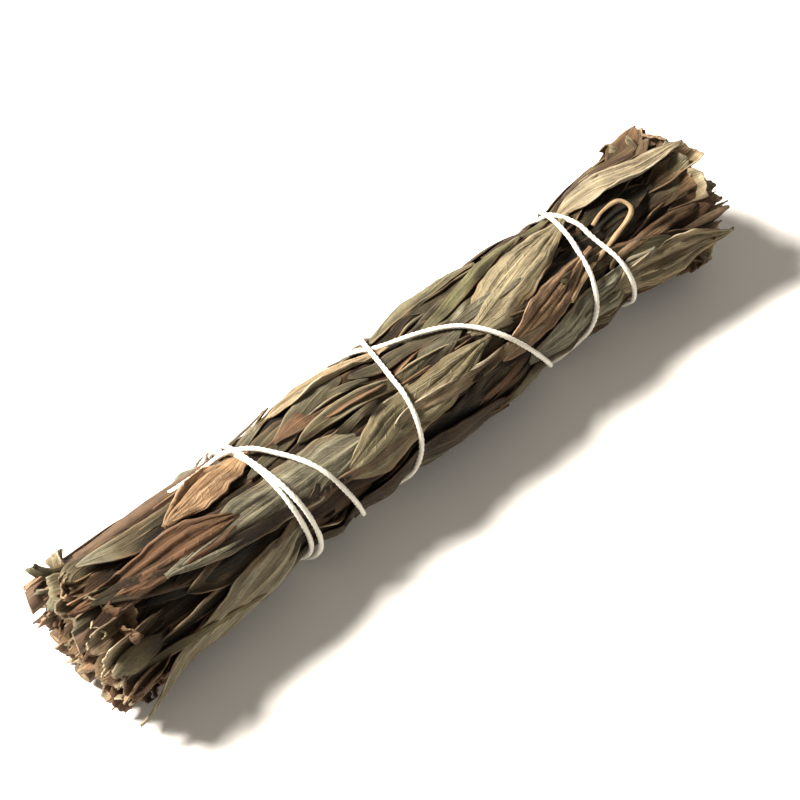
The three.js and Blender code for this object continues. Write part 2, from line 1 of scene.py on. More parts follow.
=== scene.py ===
# %% [markdown]
# A dried herb smudge stick: eight leafy mugwort sprigs pressed into a roll and bound with one cotton
# thread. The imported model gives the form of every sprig, wrapped leaf, stem and the thread. This script
# dresses each of them with a finer piece in the same place: thin curled leaf blades, barked stems and a
# twisted thread.

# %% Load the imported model
import math

import bmesh
import bpy
import numpy as np
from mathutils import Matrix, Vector
from mathutils.bvhtree import BVHTree


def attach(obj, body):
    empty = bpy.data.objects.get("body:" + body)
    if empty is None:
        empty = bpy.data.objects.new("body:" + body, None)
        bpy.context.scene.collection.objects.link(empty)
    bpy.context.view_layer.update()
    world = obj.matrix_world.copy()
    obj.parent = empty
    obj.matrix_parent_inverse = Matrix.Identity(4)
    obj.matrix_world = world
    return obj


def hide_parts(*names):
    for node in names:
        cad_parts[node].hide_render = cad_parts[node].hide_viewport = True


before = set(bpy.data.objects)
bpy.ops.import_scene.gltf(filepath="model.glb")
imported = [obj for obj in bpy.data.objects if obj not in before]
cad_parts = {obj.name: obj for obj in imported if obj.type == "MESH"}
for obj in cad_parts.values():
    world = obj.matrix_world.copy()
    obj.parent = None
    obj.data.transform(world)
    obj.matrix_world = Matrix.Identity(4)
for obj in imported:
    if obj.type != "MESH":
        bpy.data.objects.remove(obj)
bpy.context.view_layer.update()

# %% [markdown]
# The bundle lies along X with its butt at -X. Every leaf is placed by its distance along the axis, its
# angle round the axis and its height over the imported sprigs. These are the same few dimensions that the
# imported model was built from, here in metres.

# %% Driving dimensions
MM = 0.001
LENGTH = 120 * MM
RADIUS = 10.15 * MM
AXIS_HEIGHT = 9.6 * MM
END_FLARE = 0.9 * MM  # how much thicker the unbound ends are
PINCH_DEPTH = 1.35 * MM  # how far the thread draws the leaves in
PINCH_REACH = 4.2 * MM  # how far from the thread this is mostly over
LEAF_LAYER = 1.25 * MM  # thickness of the leaves over a sprig's packed mass
RING_SPRIGS = 7
HEART_RADIUS = 3.7 * MM
RING_START = 0.25  # angle of the first ring sprig, in radians like the next two
TWIST = 0.5  # turn of the sprigs from end to end
WOBBLE = 0.07  # how far they stray from an even turn
SHINGLE = 75  # lean of the sprigs' boundaries, radians for each metre outwards
REVERSED = (2, 5)
SURFACE_STEMS = (1, 5)
BLADE = 0.24 * MM  # thickness of a dried leaf
TAU = 2 * math.pi
print("bundle:", LENGTH / MM, "mm long,", 2 * RADIUS / MM, "mm thick,", RING_SPRIGS + 1, "sprigs")


def draw(k):
    """A repeatable draw between 0 and 1."""
    s = math.sin(k * 12.9898 + 4.1414) * 43758.5453
    return s - math.floor(s)


def between(k, low, high):
    """A repeatable draw between low and high."""
    return low + draw(k) * (high - low)


def smoothstep(x, low, high):
    """0 below low, 1 above high, and a smooth rise between them."""
    t = np.clip((x - low) / (high - low), 0, 1)
    return t * t * (3 - 2 * t)


# %% [markdown]
# The thread's route comes first, because the bundle is drawn in wherever the thread passes. The route is
# a smooth curve through points that give how far the thread has turned, in degrees, and where it is along
# the axis, in millimetres. A centripetal Catmull-Rom curve passes through its points without overshooting
# between them.

# %% The thread's route over the surface
THREAD_ROUTE = [
    (40, -26.8), (118, -26.2), (208, -25.6), (298, -32), (388, -37.2), (415, -28), (478, -20), (568, -15),
    (658, -8), (748, -3), (773, -1.1), (819, 10.7), (903, 20.8), (1018, 29), (1108, 34.2), (1133, 35.2),
    (1263, 39), (1378, 41), (1468, 37), (1493, 34.8), (1623, 30), (1738, 14), (1828, 1.5), (1853, -1.1),
    (1983, -5.6), (2098, -17), (2188, -25), (2213, -27), (2343, -24.2), (2458, -27.5), (2560, -28.6),
]
FIRST_TURN = THREAD_ROUTE[0][0]
LAST_TURN = THREAD_ROUTE[-1][0]


def catmull_rom(points, per_span):
    """Points along the centripetal Catmull-Rom curve through a list of points."""
    points = np.array(points, float)
    padded = np.vstack([2 * points[0] - points[1], points, 2 * points[-1] - points[-2]])
    share = np.linspace(0, 1, per_span, endpoint=False)[:, None]
    spans = []
    for p0, p1, p2, p3 in zip(padded, padded[1:], padded[2:], padded[3:]):
        d0, d1, d2 = (math.sqrt(np.linalg.norm(b - a)) for a, b in ((p0, p1), (p1, p2), (p2, p3)))
        leave = ((p1 - p0) / d0 - (p2 - p0) / (d0 + d1) + (p2 - p1) / d1) * d1
        arrive = ((p2 - p1) / d1 - (p3 - p1) / (d1 + d2) + (p3 - p2) / d2) * d1
        cubic = 2 * p1 - 2 * p2 + leave + arrive
        square = -3 * p1 + 3 * p2 - 2 * leave - arrive
        spans.append(cubic * share**3 + square * share**2 + leave * share + p1)
    return np.vstack([*spans, points[-1:]])


route = catmull_rom([(turned, x * 10) for turned, x in THREAD_ROUTE], 45)
route_turned = route[:, 0]
route_x = route[:, 1] / 10 * MM


def route_at(turned):
    """Where the thread is along the axis, once it has turned so far."""
    return np.interp(turned, route_turned, route_x)


print("thread route:", len(THREAD_ROUTE), "points,", (LAST_TURN - FIRST_TURN) / 360, "turns")


# %% [markdown]
# The surface of the bundle is a radius for each place along the axis and each angle: wider at the unbound
# ends, gently lumpy, and drawn in along the thread. The lowest leaves are squeezed flat by the table
# instead of passing through it. A curve that never quite reaches zero keeps their order, so that no two
# of them coincide.

# %% The surface of the bundle
TURNS_SEARCHED = 9  # more than the thread makes
SLOPE_SPAN = 4  # degrees on either side over which the thread's slope is measured
FAR_OFF = 9.0  # metres, more than any distance to the thread
LUMPS = ((0.25, 3, 0.11), (0.2, 5, -0.17))  # millimetres high, number round the bundle, turn along it
PRESSED = 1.1 * MM  # below this height the table squeezes the leaves


def thread_distance(x, angle):
    """Distance over the surface to the nearest stretch of thread."""
    degrees = np.degrees(angle)
    start = degrees - 360 * np.ceil((degrees - FIRST_TURN) / 360)
    nearest = np.full(np.shape(x), FAR_OFF)
    for turn in range(TURNS_SEARCHED):
        turned = start + 360 * turn
        rise = route_at(turned + SLOPE_SPAN) - route_at(turned - SLOPE_SPAN)
        slope = rise / (2 * math.radians(SLOPE_SPAN) * RADIUS)
        apart = np.abs(x - route_at(turned)) / np.hypot(1, slope)
        there = (turned >= FIRST_TURN) & (turned <= LAST_TURN)
        nearest = np.where(there, np.minimum(nearest, apart), nearest)
    return nearest


def envelope(x, angle):
    """Radius over the leaves."""
    flare = END_FLARE * (np.abs(x) / (LENGTH / 2)) ** 4
    pinch = PINCH_DEPTH * np.exp(-((thread_distance(x, angle) / PINCH_REACH) ** 2))
    bulge = sum(high * np.sin(count * angle + x / MM * turn) for high, count, turn in LUMPS)
    return RADIUS + flare + bulge * MM - pinch


def place(x, angle, radius):
    """Points of the bundle, with the lowest ones squeezed flat."""
    z = AXIS_HEIGHT + radius * np.sin(angle)
    z = np.where(z < PRESSED, PRESSED * np.exp((z - PRESSED) / PRESSED), z)
    return np.stack([x, radius * np.cos(angle), z], axis=-1)


def turn_at(x):
    """Angle by which the sprigs have turned at a place along the axis."""
    return TWIST * x / LENGTH + WOBBLE * np.sin(x / MM * 0.13)


def sprig_angle(sprig, x):
    """Angle of the middle of a ring sprig."""
    return RING_START + TAU * (sprig - 1) / RING_SPRIGS + turn_at(x)


print("radius at the top of the middle:", round(float(envelope(0, math.pi / 2)) / MM, 2), "mm")

# %% [markdown]
# A dried leaf is a thin sheet that has curled. It is modelled from a flat grid: each row of the grid is
# bent by adding up small steps whose slope changes from edge to edge, which curls an edge over without
# stretching it. The bent row is then laid on the bundle. Every blade of a piece goes into one bmesh, and
# one solidify at the end gives them all their thickness.

# %% Leaf outlines
def outline(lead, taper):
    """Half width of a leaf, as a share of its widest. A low lead puts the widest place near the root."""

    def half_width(along):
        return np.sin(np.pi * np.clip(along, 0, 1) ** lead) ** taper

    return half_width


lance = outline(0.8, 0.8)
pointed = outline(0.72, 0.95)
strap = outline(0.9, 0.45)
quarter_widths = [round(float(shape(0.25)), 2) for shape in (lance, pointed, strap)]
print("half widths a quarter of the way along:", quarter_widths)

# %% Leaf blades
# Painted shade is warm: these powers darken blue most and red least where the painted shade is deep.
SHADE_POWERS = (1, 1.12, 1.3)  # what lies deep is lit through brown leaves, so its red fades least
# Painted highlight: how much lighter a blade's two edges are painted.
EDGE_LIGHT = 0.7
# Painted light and shade by depth under the bundle's surface: lighter above it, darker deep under it.
DEPTHS = (-0.6 * MM, 0, 0.45 * MM, 1.1 * MM)
DEPTH_SHADES = (1.4, 1.05, 0.5, 0.13)


def grid_of(bm, rows, columns):
    """Adds a flat grid with a UV map. Gives each of its vertices with its row and column."""
    made = bmesh.ops.create_grid(bm, x_segments=columns, y_segments=rows, size=1, calc_uvs=True)
    return [
        (vert, round((vert.co.y + 1) / 2 * rows), round((vert.co.x + 1) / 2 * columns))
        for vert in made["verts"]
    ]


def add_sheet(bm, points, tint, shade):
    """Adds a grid bent to an array of points, rows first. Shade is painted light and shade, which lightens
    or darkens the tint.
    """
    tint_layer = bm.verts.layers.float_color["tint"]
    for vert, row, column in grid_of(bm, points.shape[0] - 1, points.shape[1] - 1):
        vert.co = points[row, column]
        shaded = [value * shade[row, column] ** power for value, power in zip(tint, SHADE_POWERS)]
        vert[tint_layer] = (*shaded, 1)


def painted_light_and_shade(across, depth):
    """Painted highlight along the two edges and on what stands out, painted shade on what lies deep."""
    edge = 1 + EDGE_LIGHT * smoothstep(np.abs(across), 0.82, 1)
    return edge * np.interp(depth, DEPTHS, DEPTH_SHADES)


def curled_row(across, half, bend, curl_low, curl_high):
    """Bends each row of a flat blade. Gives how far each point is across and how high it stands."""
    ease_low = smoothstep(-across, 0.3, 1.0)
    ease_high = smoothstep(across, 0.3, 1.0)
    slope = bend * across - curl_low * ease_low + curl_high * ease_high
    step = across[:, 1:] - across[:, :-1]
    middle = (slope[:, 1:] + slope[:, :-1]) / 2
    zero = np.zeros((across.shape[0], 1))
    aside = np.hstack([zero, np.cumsum(np.cos(middle) * step, axis=1)])
    height = np.hstack([zero, np.cumsum(np.sin(middle) * step, axis=1)])
    centre = across.shape[1] // 2
    aside = aside - aside[:, centre : centre + 1]
    height = height - height[:, centre : centre + 1]
    height = height - 0.7 * np.minimum(height.min(axis=1, keepdims=True), 0)
    return aside * half, height * half


print("a leaf's edges are up to", round(EDGE_LIGHT * 100), "% lighter than its middle")


# %% [markdown]
# Blades pile up as they are laid. A coarse map of the surface counts how many blades lie over each spot,
# so that the next one rides over them instead of passing through. The leaves wrapped round the outside
# are marked on a second map first, and the leaves under them are kept low there.

# %% Maps of what already lies on the bundle
CELL = 1.0 * MM
CELLS_LONG = 126
CELLS_ROUND = 64
pile = np.zeros((CELLS_LONG, CELLS_ROUND))
wrapped = np.zeros((CELLS_LONG, CELLS_ROUND))


def mark(cells, x, angle):
    """Adds one to every cell that a blade covers."""
    row = np.clip((x / CELL + CELLS_LONG / 2).astype(int), 0, CELLS_LONG - 1)
    column = np.floor(angle / TAU * CELLS_ROUND).astype(int) % CELLS_ROUND
    covered = np.zeros(cells.shape, bool)
    covered[row, column] = True
    cells += covered


def look_up(cells, x, angle):
    """Reads a blurred map at points of the surface."""
    soft = sum(np.roll(cells, (i, j), (0, 1)) for i in (-1, 0, 1) for j in (-1, 0, 1)) / 9
    row = np.clip(x / CELL + CELLS_LONG / 2 - 0.5, 0, CELLS_LONG - 1.001)
    column = (angle / TAU * CELLS_ROUND - 0.5) % CELLS_ROUND
    r, c = row.astype(int), column.astype(int) % CELLS_ROUND
    fr, fc = row - r, column - np.floor(column)
    c1 = (c + 1) % CELLS_ROUND
    low = soft[r, c] * (1 - fc) + soft[r, c1] * fc
    high = soft[r + 1, c] * (1 - fc) + soft[r + 1, c1] * fc
    return low * (1 - fr) + high * fr


print("surface map:", CELLS_LONG, "by", CELLS_ROUND, "cells")


# %% [markdown]
# One function lays any blade. It takes the blade's root, direction, size and habits: how much the blade
# troughs or arches, how far each edge rolls over, how deep its lengthwise pleats are. Near the thread all
# of that is pressed flat, which is what makes the bundle bulge between its windings.

# %% The shape of a blade
PRESS_REACH = 1.7 * MM  # how far from the thread the leaves are pressed flat
CREASES = ((1.0, 1.0, 1.6), (0.5, 1.9, -3.5), (0.4, 0.6, 7.0))  # height, waves across, slant


def pressing(x, angle, strength):
    """1 away from the thread, and less where the thread presses the leaves flat."""
    return 1 - strength * np.exp(-((thread_distance(x, angle) / PRESS_REACH) ** 2))


def blade_grid(rows, columns):
    """Shares across (-1 to 1) and along (0 to 1) a blade."""
    along = np.repeat(np.linspace(0, 1, rows + 1)[:, None], columns + 1, axis=1)
    across = np.repeat(np.linspace(-1, 1, columns + 1)[None, :], rows + 1, axis=0)
    return across, along


def creased(leaf, across, along):
    """Lengthwise creases that wander and fade in and out: narrow ridges between rounded hollows."""
    phase = leaf["phase"]
    height = np.zeros(across.shape)
    for i, (share, waves, slant) in enumerate(CREASES):
        warp = 1.1 * np.sin(3.1 * along + phase * (i + 1))
        warp = warp + 0.6 * np.sin(7.3 * along + 2.3 * across + phase)
        wave = np.sin(waves * leaf["pleats"] * across + slant * along + phase * (2 * i + 1) + warp)
        fade = 0.6 + 0.4 * np.sin(4.7 * along + 1.9 * across + phase + 2.1 * i)
        height += share * fade * (0.45 - np.abs(wave) ** 0.8)
    return height


def blade_shape(leaf, across, along):
    """How far each point of a blade is to the side of its middle line and how high it stands."""
    phase = leaf["phase"]
    waves = np.sin(9 * along + phase + 2 * across) + np.sin(4 * along + 3 * phase + across)
    ragged = 1 + leaf["wave"] * waves
    ragged = ragged + 0.03 * np.sin(31 * along + 3 * phase + across) + 0.02 * np.sin(57 * along - phase)
    half = leaf["width"] / 2 * np.maximum(leaf["outline"](along), 0.05) * ragged
    ease = 0.55 + 0.45 * np.sin(4.5 * along + 2 * phase)
    other = 0.55 + 0.45 * np.sin(5.5 * along + 5 * phase)
    aside, height = curled_row(
        across, half, leaf["bend"] * other, leaf["curl_low"] * ease, leaf["curl_high"] * other
    )
    body = np.sin(np.pi * along) ** 0.5
    buckle = np.sin(TAU * leaf["buckles"] * along + phase) * (0.25 + across**2)
    rib = 0.1 * MM * np.exp(-((across / 0.08) ** 2)) * (1 - along)
    creases = leaf["fold"] * creased(leaf, across, along)
    return aside, height + (creases + leaf["buckle"] * buckle + rib) * body


print("relief left on top of the middle:", round(float(pressing(0, math.pi / 2, 0.85)), 2))

# %% Laying a blade on the bundle
FOLLOWED_TURN = 0.7  # how much of its sprig's turn a leaf follows
BLADE_STEP = 0.27 * MM  # how much one blade raises the next
WRAP_STAND = 0.32 * MM  # how far the wrapped leaves stand above the sprigs
SPRIG_CEILING = 0.45 * MM  # how far a sprig's own leaves may stand out
UNDER_WRAP = 0.75 * MM  # how much lower that is beneath a wrapped leaf
# Painted shadow: the sprigs' leaves are painted darker under and near the wrapped leaves.
WRAP_SHADOW = 0.8  # how dark the leaves are there


def lay_blade(bm, leaf, rows, columns):
    """Lays one leaf of a sprig on the bundle."""
    across, along = blade_grid(rows, columns)
    aside, height = blade_shape(leaf, across, along)
    run = along * leaf["length"]
    lean = leaf["lean"] + leaf["sweep"] * along
    x = leaf["x"] + leaf["direction"] * run * np.cos(lean) + aside * np.sin(lean)
    angle = leaf["angle"] + (run * np.sin(lean) + aside * np.cos(lean)) / RADIUS
    angle = angle + FOLLOWED_TURN * (turn_at(x) - turn_at(leaf["x"]))
    x = np.clip(x, -LENGTH / 2, LENGTH / 2)
    top = envelope(x, angle)
    press = pressing(x, angle, 0.85)
    lift = leaf["sink"] + (leaf["rise"] - leaf["sink"]) * along**0.7
    floor = np.maximum(lift - LEAF_LAYER, BLADE_STEP * look_up(pile, x, angle) - leaf["depth"])
    flare = leaf["flare"] * smoothstep(along, 0.7, 1)
    radius = top + floor + (height + flare) * press
    below = look_up(wrapped, x, angle)
    if leaf["over"]:
        radius = np.maximum(radius, top - 0.3 * MM + WRAP_STAND * 2 * below)
        below = 0 * below
    ceiling = top + SPRIG_CEILING + flare * press + leaf["over"] - UNDER_WRAP * below
    over = np.maximum(radius - ceiling, 0)
    radius = np.minimum(radius, ceiling) + 0.25 * over * press * (below < 0.1)
    mark(pile, x, angle)
    # Painted light and shade: lighter edges and raised parts, darker deep parts, and a painted shadow under
    # and near the wrapped leaves.
    shade = painted_light_and_shade(across, top + leaf["over"] - radius) * (1 - WRAP_SHADOW * smoothstep(below, 0.02, 0.5))
    points = place(x, angle, radius)
    if leaf["direction"] > 0:
        points, shade = points[:, ::-1], shade[:, ::-1]
    add_sheet(bm, points, leaf["tint"], shade)


print("a sprig's leaves stand out by", round(SPRIG_CEILING / MM, 2), "mm at most, unless they spring")

# %% [markdown]
# A leaf dries in one of a few ways: one edge rolls over, the blade troughs or arches, or it stays nearly
# flat. Each leaf draws its own way, with its own creases and waves, so that no two look alike.

# %% The habits of a leaf
ROLLED_LOW, ROLLED_HIGH, TROUGHED, ARCHED = 0.22, 0.44, 0.58, 0.7  # running shares of the leaves
OUT_OF_SIGHT = -9 * MM  # so deep that only the pile below holds a leaf up


def habits(seed, strength=1.0):
    """The way one leaf has curled and creased as it dried."""
    kind = draw(seed + 50)
    bend = between(seed + 51, -0.55, 0.5)
    low = between(seed + 52, -0.2, 0.6)
    high = between(seed + 53, -0.2, 0.6)
    if kind < ROLLED_LOW:
        low = between(seed + 54, 1.4, 2.7)
    elif kind < ROLLED_HIGH:
        high = between(seed + 54, 1.4, 2.7)
    elif kind < TROUGHED:
        bend = between(seed + 55, 0.7, 1.2)
    elif kind < ARCHED:
        bend = between(seed + 55, -1.1, -0.7)
    return {
        "bend": bend * strength,
        "curl_low": low * strength,
        "curl_high": high * strength,
        "pleats": between(seed + 56, 2.2, 4.2),
        "fold": between(seed + 61, 0.15, 0.5) * MM,
        "buckles": between(seed + 57, 1.5, 4),
        "buckle": between(seed + 58, 0.05, 0.22) * MM * strength,
        "phase": draw(seed + 59) * TAU,
        "sweep": between(seed + 60, -0.12, 0.12),
        "outline": lance,
        "wave": 0.1,
        "flare": 0,
        "over": 0,
        "depth": 1.7 * MM,
        "sink": OUT_OF_SIGHT,
        "rise": OUT_OF_SIGHT,
    }


print("each leaf's habits:", ", ".join(habits(1)))

# %% [markdown]
# Leaf colours are albedos mixed from the photograph: felted grey-olive backs, darker fronts, straw and
# caramel where a leaf has yellowed, russet and plum where it has browned. Each leaf draws one and shifts it
# a little, and each sprig has its own leaning.

# %% Leaf colours
COLOURS = {
    "olive": (0.142, 0.123, 0.073),
    "sage": (0.186, 0.168, 0.113),
    "moss": (0.116, 0.106, 0.053),
    "straw": (0.280, 0.218, 0.134),
    "hay": (0.210, 0.172, 0.104),
    "caramel": (0.212, 0.137, 0.078),
    "russet": (0.115, 0.063, 0.033),
    "plum": (0.065, 0.034, 0.026),
    "dark": (0.048, 0.033, 0.020),
}
MIXES = {
    "olive": ("olive", "sage", "olive", "moss", "straw", "sage", "russet", "olive"),
    "dark": ("dark", "olive", "russet", "dark", "moss", "plum", "sage", "olive"),
    "russet": ("russet", "olive", "caramel", "dark", "sage", "straw", "russet", "olive"),
}
SPRIG_TINTS = ("russet", "olive", "olive", "russet", "olive", "dark", "olive", "dark")


def leaf_tint(name, seed):
    """One of the named colours, a little lighter or darker and warmer or cooler."""
    shade = between(seed + 70, 0.78, 1.25)
    warm = between(seed + 71, -0.06, 0.06)
    red, green, blue = COLOURS[name]
    return (red * shade * (1 + warm), green * shade, blue * shade * (1 - warm))


def mixed_tint(sprig, seed):
    """A colour drawn from a sprig's mix."""
    mix = MIXES[SPRIG_TINTS[sprig]]
    return leaf_tint(mix[int(draw(seed + 72) * len(mix))], seed)


print("leaf colours:", ", ".join(COLOURS))

# %% [markdown]
# A piece starts as an empty bmesh that carries a UV map for veins and a tint for each vertex. When its
# blades are in, solidify gives them thickness towards the inside of the bundle, and the mesh becomes an
# object at the origin that rides on the imported body and stands in for its imported node.

# %% Starting and finishing a piece
TABLE_CLEAR = 0.02 * MM  # nothing hangs lower than this


def add_object(name, data):
    """A new object in the scene."""
    made = bpy.data.objects.new(name, data)
    bpy.context.scene.collection.objects.link(made)
    return made


def start_piece():
    """An empty bmesh with the layers that the materials read."""
    bm = bmesh.new()
    bm.loops.layers.uv.new("blade")
    bm.verts.layers.float_color.new("tint")
    return bm


def thickened(bm, thickness):
    """Gives every open sheet its thickness. The inner side gets the second material, the rim the third."""
    mesh = bpy.data.meshes.new("sheets")
    bm.to_mesh(mesh)
    bm.free()
    sheets = add_object("sheets", mesh)
    solidify = sheets.modifiers.new("thickness", "SOLIDIFY")
    solidify.thickness = thickness
    solidify.offset = -1
    solidify.use_quality_normals = True
    solidify.material_offset = 1
    solidify.material_offset_rim = 2
    evaluated = sheets.evaluated_get(bpy.context.evaluated_depsgraph_get())
    solid = bmesh.new()
    solid.from_mesh(evaluated.to_mesh())
    bpy.data.objects.remove(sheets)
    return solid


def finish_piece(bm, name, materials, slot, *nodes):
    """Makes the object, smooth shaded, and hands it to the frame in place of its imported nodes."""
    for face in bm.faces:
        face.smooth = True
    for vert in bm.verts:
        vert.co.z = max(vert.co.z, TABLE_CLEAR)
    mesh = bpy.data.meshes.new(name)
    bm.to_mesh(mesh)
    bm.free()
    for material in materials:
        mesh.materials.append(material)
    piece = add_object(name, mesh)
    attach(piece, "root")
    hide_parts(*nodes)
    triangles = sum(len(p.vertices) - 2 for p in mesh.polygons)
    print(name, triangles, "triangles")
    return piece


# %% [markdown]
# Tubes, such as stems and the thread, start as the same kind of grid: one row for each ring. The grid's
# two long edges meet and are welded, and the open ends are filled.

# %% Tubes
def add_tube(bm, rings, tint):
    """Adds a closed tube whose rings are rows of an array of points."""
    count, sides = rings.shape[0], rings.shape[1]
    tint_layer = bm.verts.layers.float_color["tint"]
    made = grid_of(bm, count - 1, sides)
    seam, ends = [], set()
    for vert, row, column in made:
        if column in (0, sides):
            seam.append(vert)
        if row in (0, count - 1):
            ends.add(vert)
        vert.co = rings[row, column % sides]
        vert[tint_layer] = (*tint, 1)
    faces = {face for vert, _, _ in made for face in vert.link_faces}
    bmesh.ops.remove_doubles(bm, verts=seam, dist=1e-7)
    rim = {e for v in ends if v.is_valid for e in v.link_edges if e.is_boundary}
    filled = bmesh.ops.holes_fill(bm, edges=list(rim), sides=0)["faces"]
    faces = [face for face in faces if face.is_valid] + filled
    bmesh.ops.recalc_face_normals(bm, faces=faces)
    return filled


def tube_frames(path):
    """The direction of a path at each point, and two directions across it that don't twist."""
    path = np.asarray(path, float)
    forward = np.gradient(path, axis=0)
    forward = forward / np.linalg.norm(forward, axis=1, keepdims=True)
    sideways = np.zeros_like(forward)
    first = np.cross(forward[0], (0.3, 0.2, 0.93))
    sideways[0] = first / np.linalg.norm(first)
    for k in range(1, len(path)):
        turned = sideways[k - 1] - forward[k] * np.dot(sideways[k - 1], forward[k])
        sideways[k] = turned / np.linalg.norm(turned)
    return forward, sideways, np.cross(forward, sideways)


def rings_along(path, radius):
    """Rings round a path. The radius is an array with a row for each point and a column for each side."""
    _, sideways, upward = tube_frames(path)
    turn = np.linspace(0, TAU, radius.shape[1], endpoint=False)
    spoke = np.cos(turn)[None, :, None] * sideways[:, None] + np.sin(turn)[None, :, None] * upward[:, None]
    return np.asarray(path)[:, None] + spoke * radius[:, :, None]


print("a ring of four sides:", rings_along([(0, 0, 0), (1, 0, 0)], np.ones((2, 4))).round(2)[0].tolist())


# %% [markdown]
# Dried mugwort is matt and felted. The material starts from each leaf's tint and adds what the blade
# shows up close: a pale midrib with side veins from the blade's UV map, brown margins, blotches, and fine
# lengthwise streaks. The same patterns drive a small bump, so they catch the light.

# %% A small kit for node materials
def new_material(name):
    """A material with its Principled shader, its tree, and a function that adds nodes."""
    material = bpy.data.materials.new(name)
    material.use_nodes = True
    tree = material.node_tree
    shader = tree.nodes["Principled BSDF"]

    def add(kind, inputs=None, **settings):
        node = tree.nodes.new(kind)
        for key, value in settings.items():
            setattr(node, key, value)
        for socket, value in (inputs or {}).items():
            if isinstance(value, bpy.types.NodeSocket):
                tree.links.new(value, node.inputs[socket])
            else:
                node.inputs[socket].default_value = value
        return node

    return material, tree, shader, add


def calculate(add, operation, first, second=0.5):
    """The result of a Math node."""
    return add("ShaderNodeMath", {0: first, 1: second}, operation=operation).outputs[0]


def product(add, first, *others):
    """Several values multiplied together."""
    for other in others:
        first = calculate(add, "MULTIPLY", first, other)
    return first


def weighted_sum(add, *parts):
    """Patterns added up, each times its weight."""
    total = 0.0
    for pattern, weight in parts:
        inputs = {0: pattern, 1: weight, 2: total}
        total = add("ShaderNodeMath", inputs, operation="MULTIPLY_ADD").outputs[0]
    return total


def vector(add, operation, first, second):
    """The result of a Vector Math node."""
    return add("ShaderNodeVectorMath", {0: first, 1: second}, operation=operation).outputs[0]


# %% Ranges, colours and noise
def remap(add, value, low, high, to_low=0.0, to_high=1.0):
    """A clamped linear change of range."""
    inputs = {0: value, 1: low, 2: high, 3: to_low, 4: to_high}
    return add("ShaderNodeMapRange", inputs).outputs[0]


def blend_colours(add, share, first, second):
    """Two colours mixed by a share. Sockets 6 and 7 are the Mix node's colours."""
    inputs = {
        socket: value if isinstance(value, bpy.types.NodeSocket) else (*value, 1)
        for socket, value in ((6, first), (7, second))
    }
    return add("ShaderNodeMix", {"Factor": share, **inputs}, data_type="RGBA").outputs[2]


def noise(add, where, scale, detail=3.0, roughness=0.55):
    """A noise pattern's grey value."""
    inputs = {"Vector": where, "Scale": scale, "Detail": detail, "Roughness": roughness}
    return add("ShaderNodeTexNoise", inputs).outputs[0]


def dress_shader(tree, shader, add, colour, height, strength, depth):
    """Connects a colour and a bump of a certain depth to the shader."""
    tree.links.new(colour, shader.inputs["Base Color"])
    bump = add("ShaderNodeBump", {"Height": height, "Strength": strength, "Distance": depth})
    tree.links.new(bump.outputs[0], shader.inputs["Normal"])


# %% Patterns on a leaf
RIB_HALF_WIDTH = 0.10  # shares of the blade's half width
VEIN_PAIRS = 13.0
VEIN_SLANT = 0.16


def leaf_ribs(add, off_centre, along):
    """The midrib and the side veins that leave it on a slant, 1 on a vein and 0 off it."""
    rib = remap(add, off_centre, 0.03, RIB_HALF_WIDTH, 1.0, 0.0)
    slanted = calculate(add, "SUBTRACT", along, product(add, off_centre, VEIN_SLANT))
    repeats = calculate(add, "PINGPONG", product(add, slanted, VEIN_PAIRS), 0.5)
    veins = remap(add, repeats, 0.02, 0.1, 1.0, 0.0)
    fading = remap(add, off_centre, 0.35, 0.95, 0.6, 0.0)
    return calculate(add, "MAXIMUM", rib, product(add, veins, fading))


def lengthwise_place(add, blade, where):
    """Coordinates stretched along the blade, and shifted from blade to blade by where each one lies."""
    stretched = add("ShaderNodeMapping", {"Vector": blade, "Scale": (19.0, 1.5, 1.0)}).outputs[0]
    return vector(add, "ADD", stretched, vector(add, "MULTIPLY", where, (90.0, 90.0, 90.0)))


print("veins on a leaf:", round(VEIN_PAIRS), "pairs")


# %% The leaf material
PATCHES, MOTTLE, GRAIN = 90.0, 260.0, 2600.0  # noise scales, from blotches of 1 cm to the down's grain


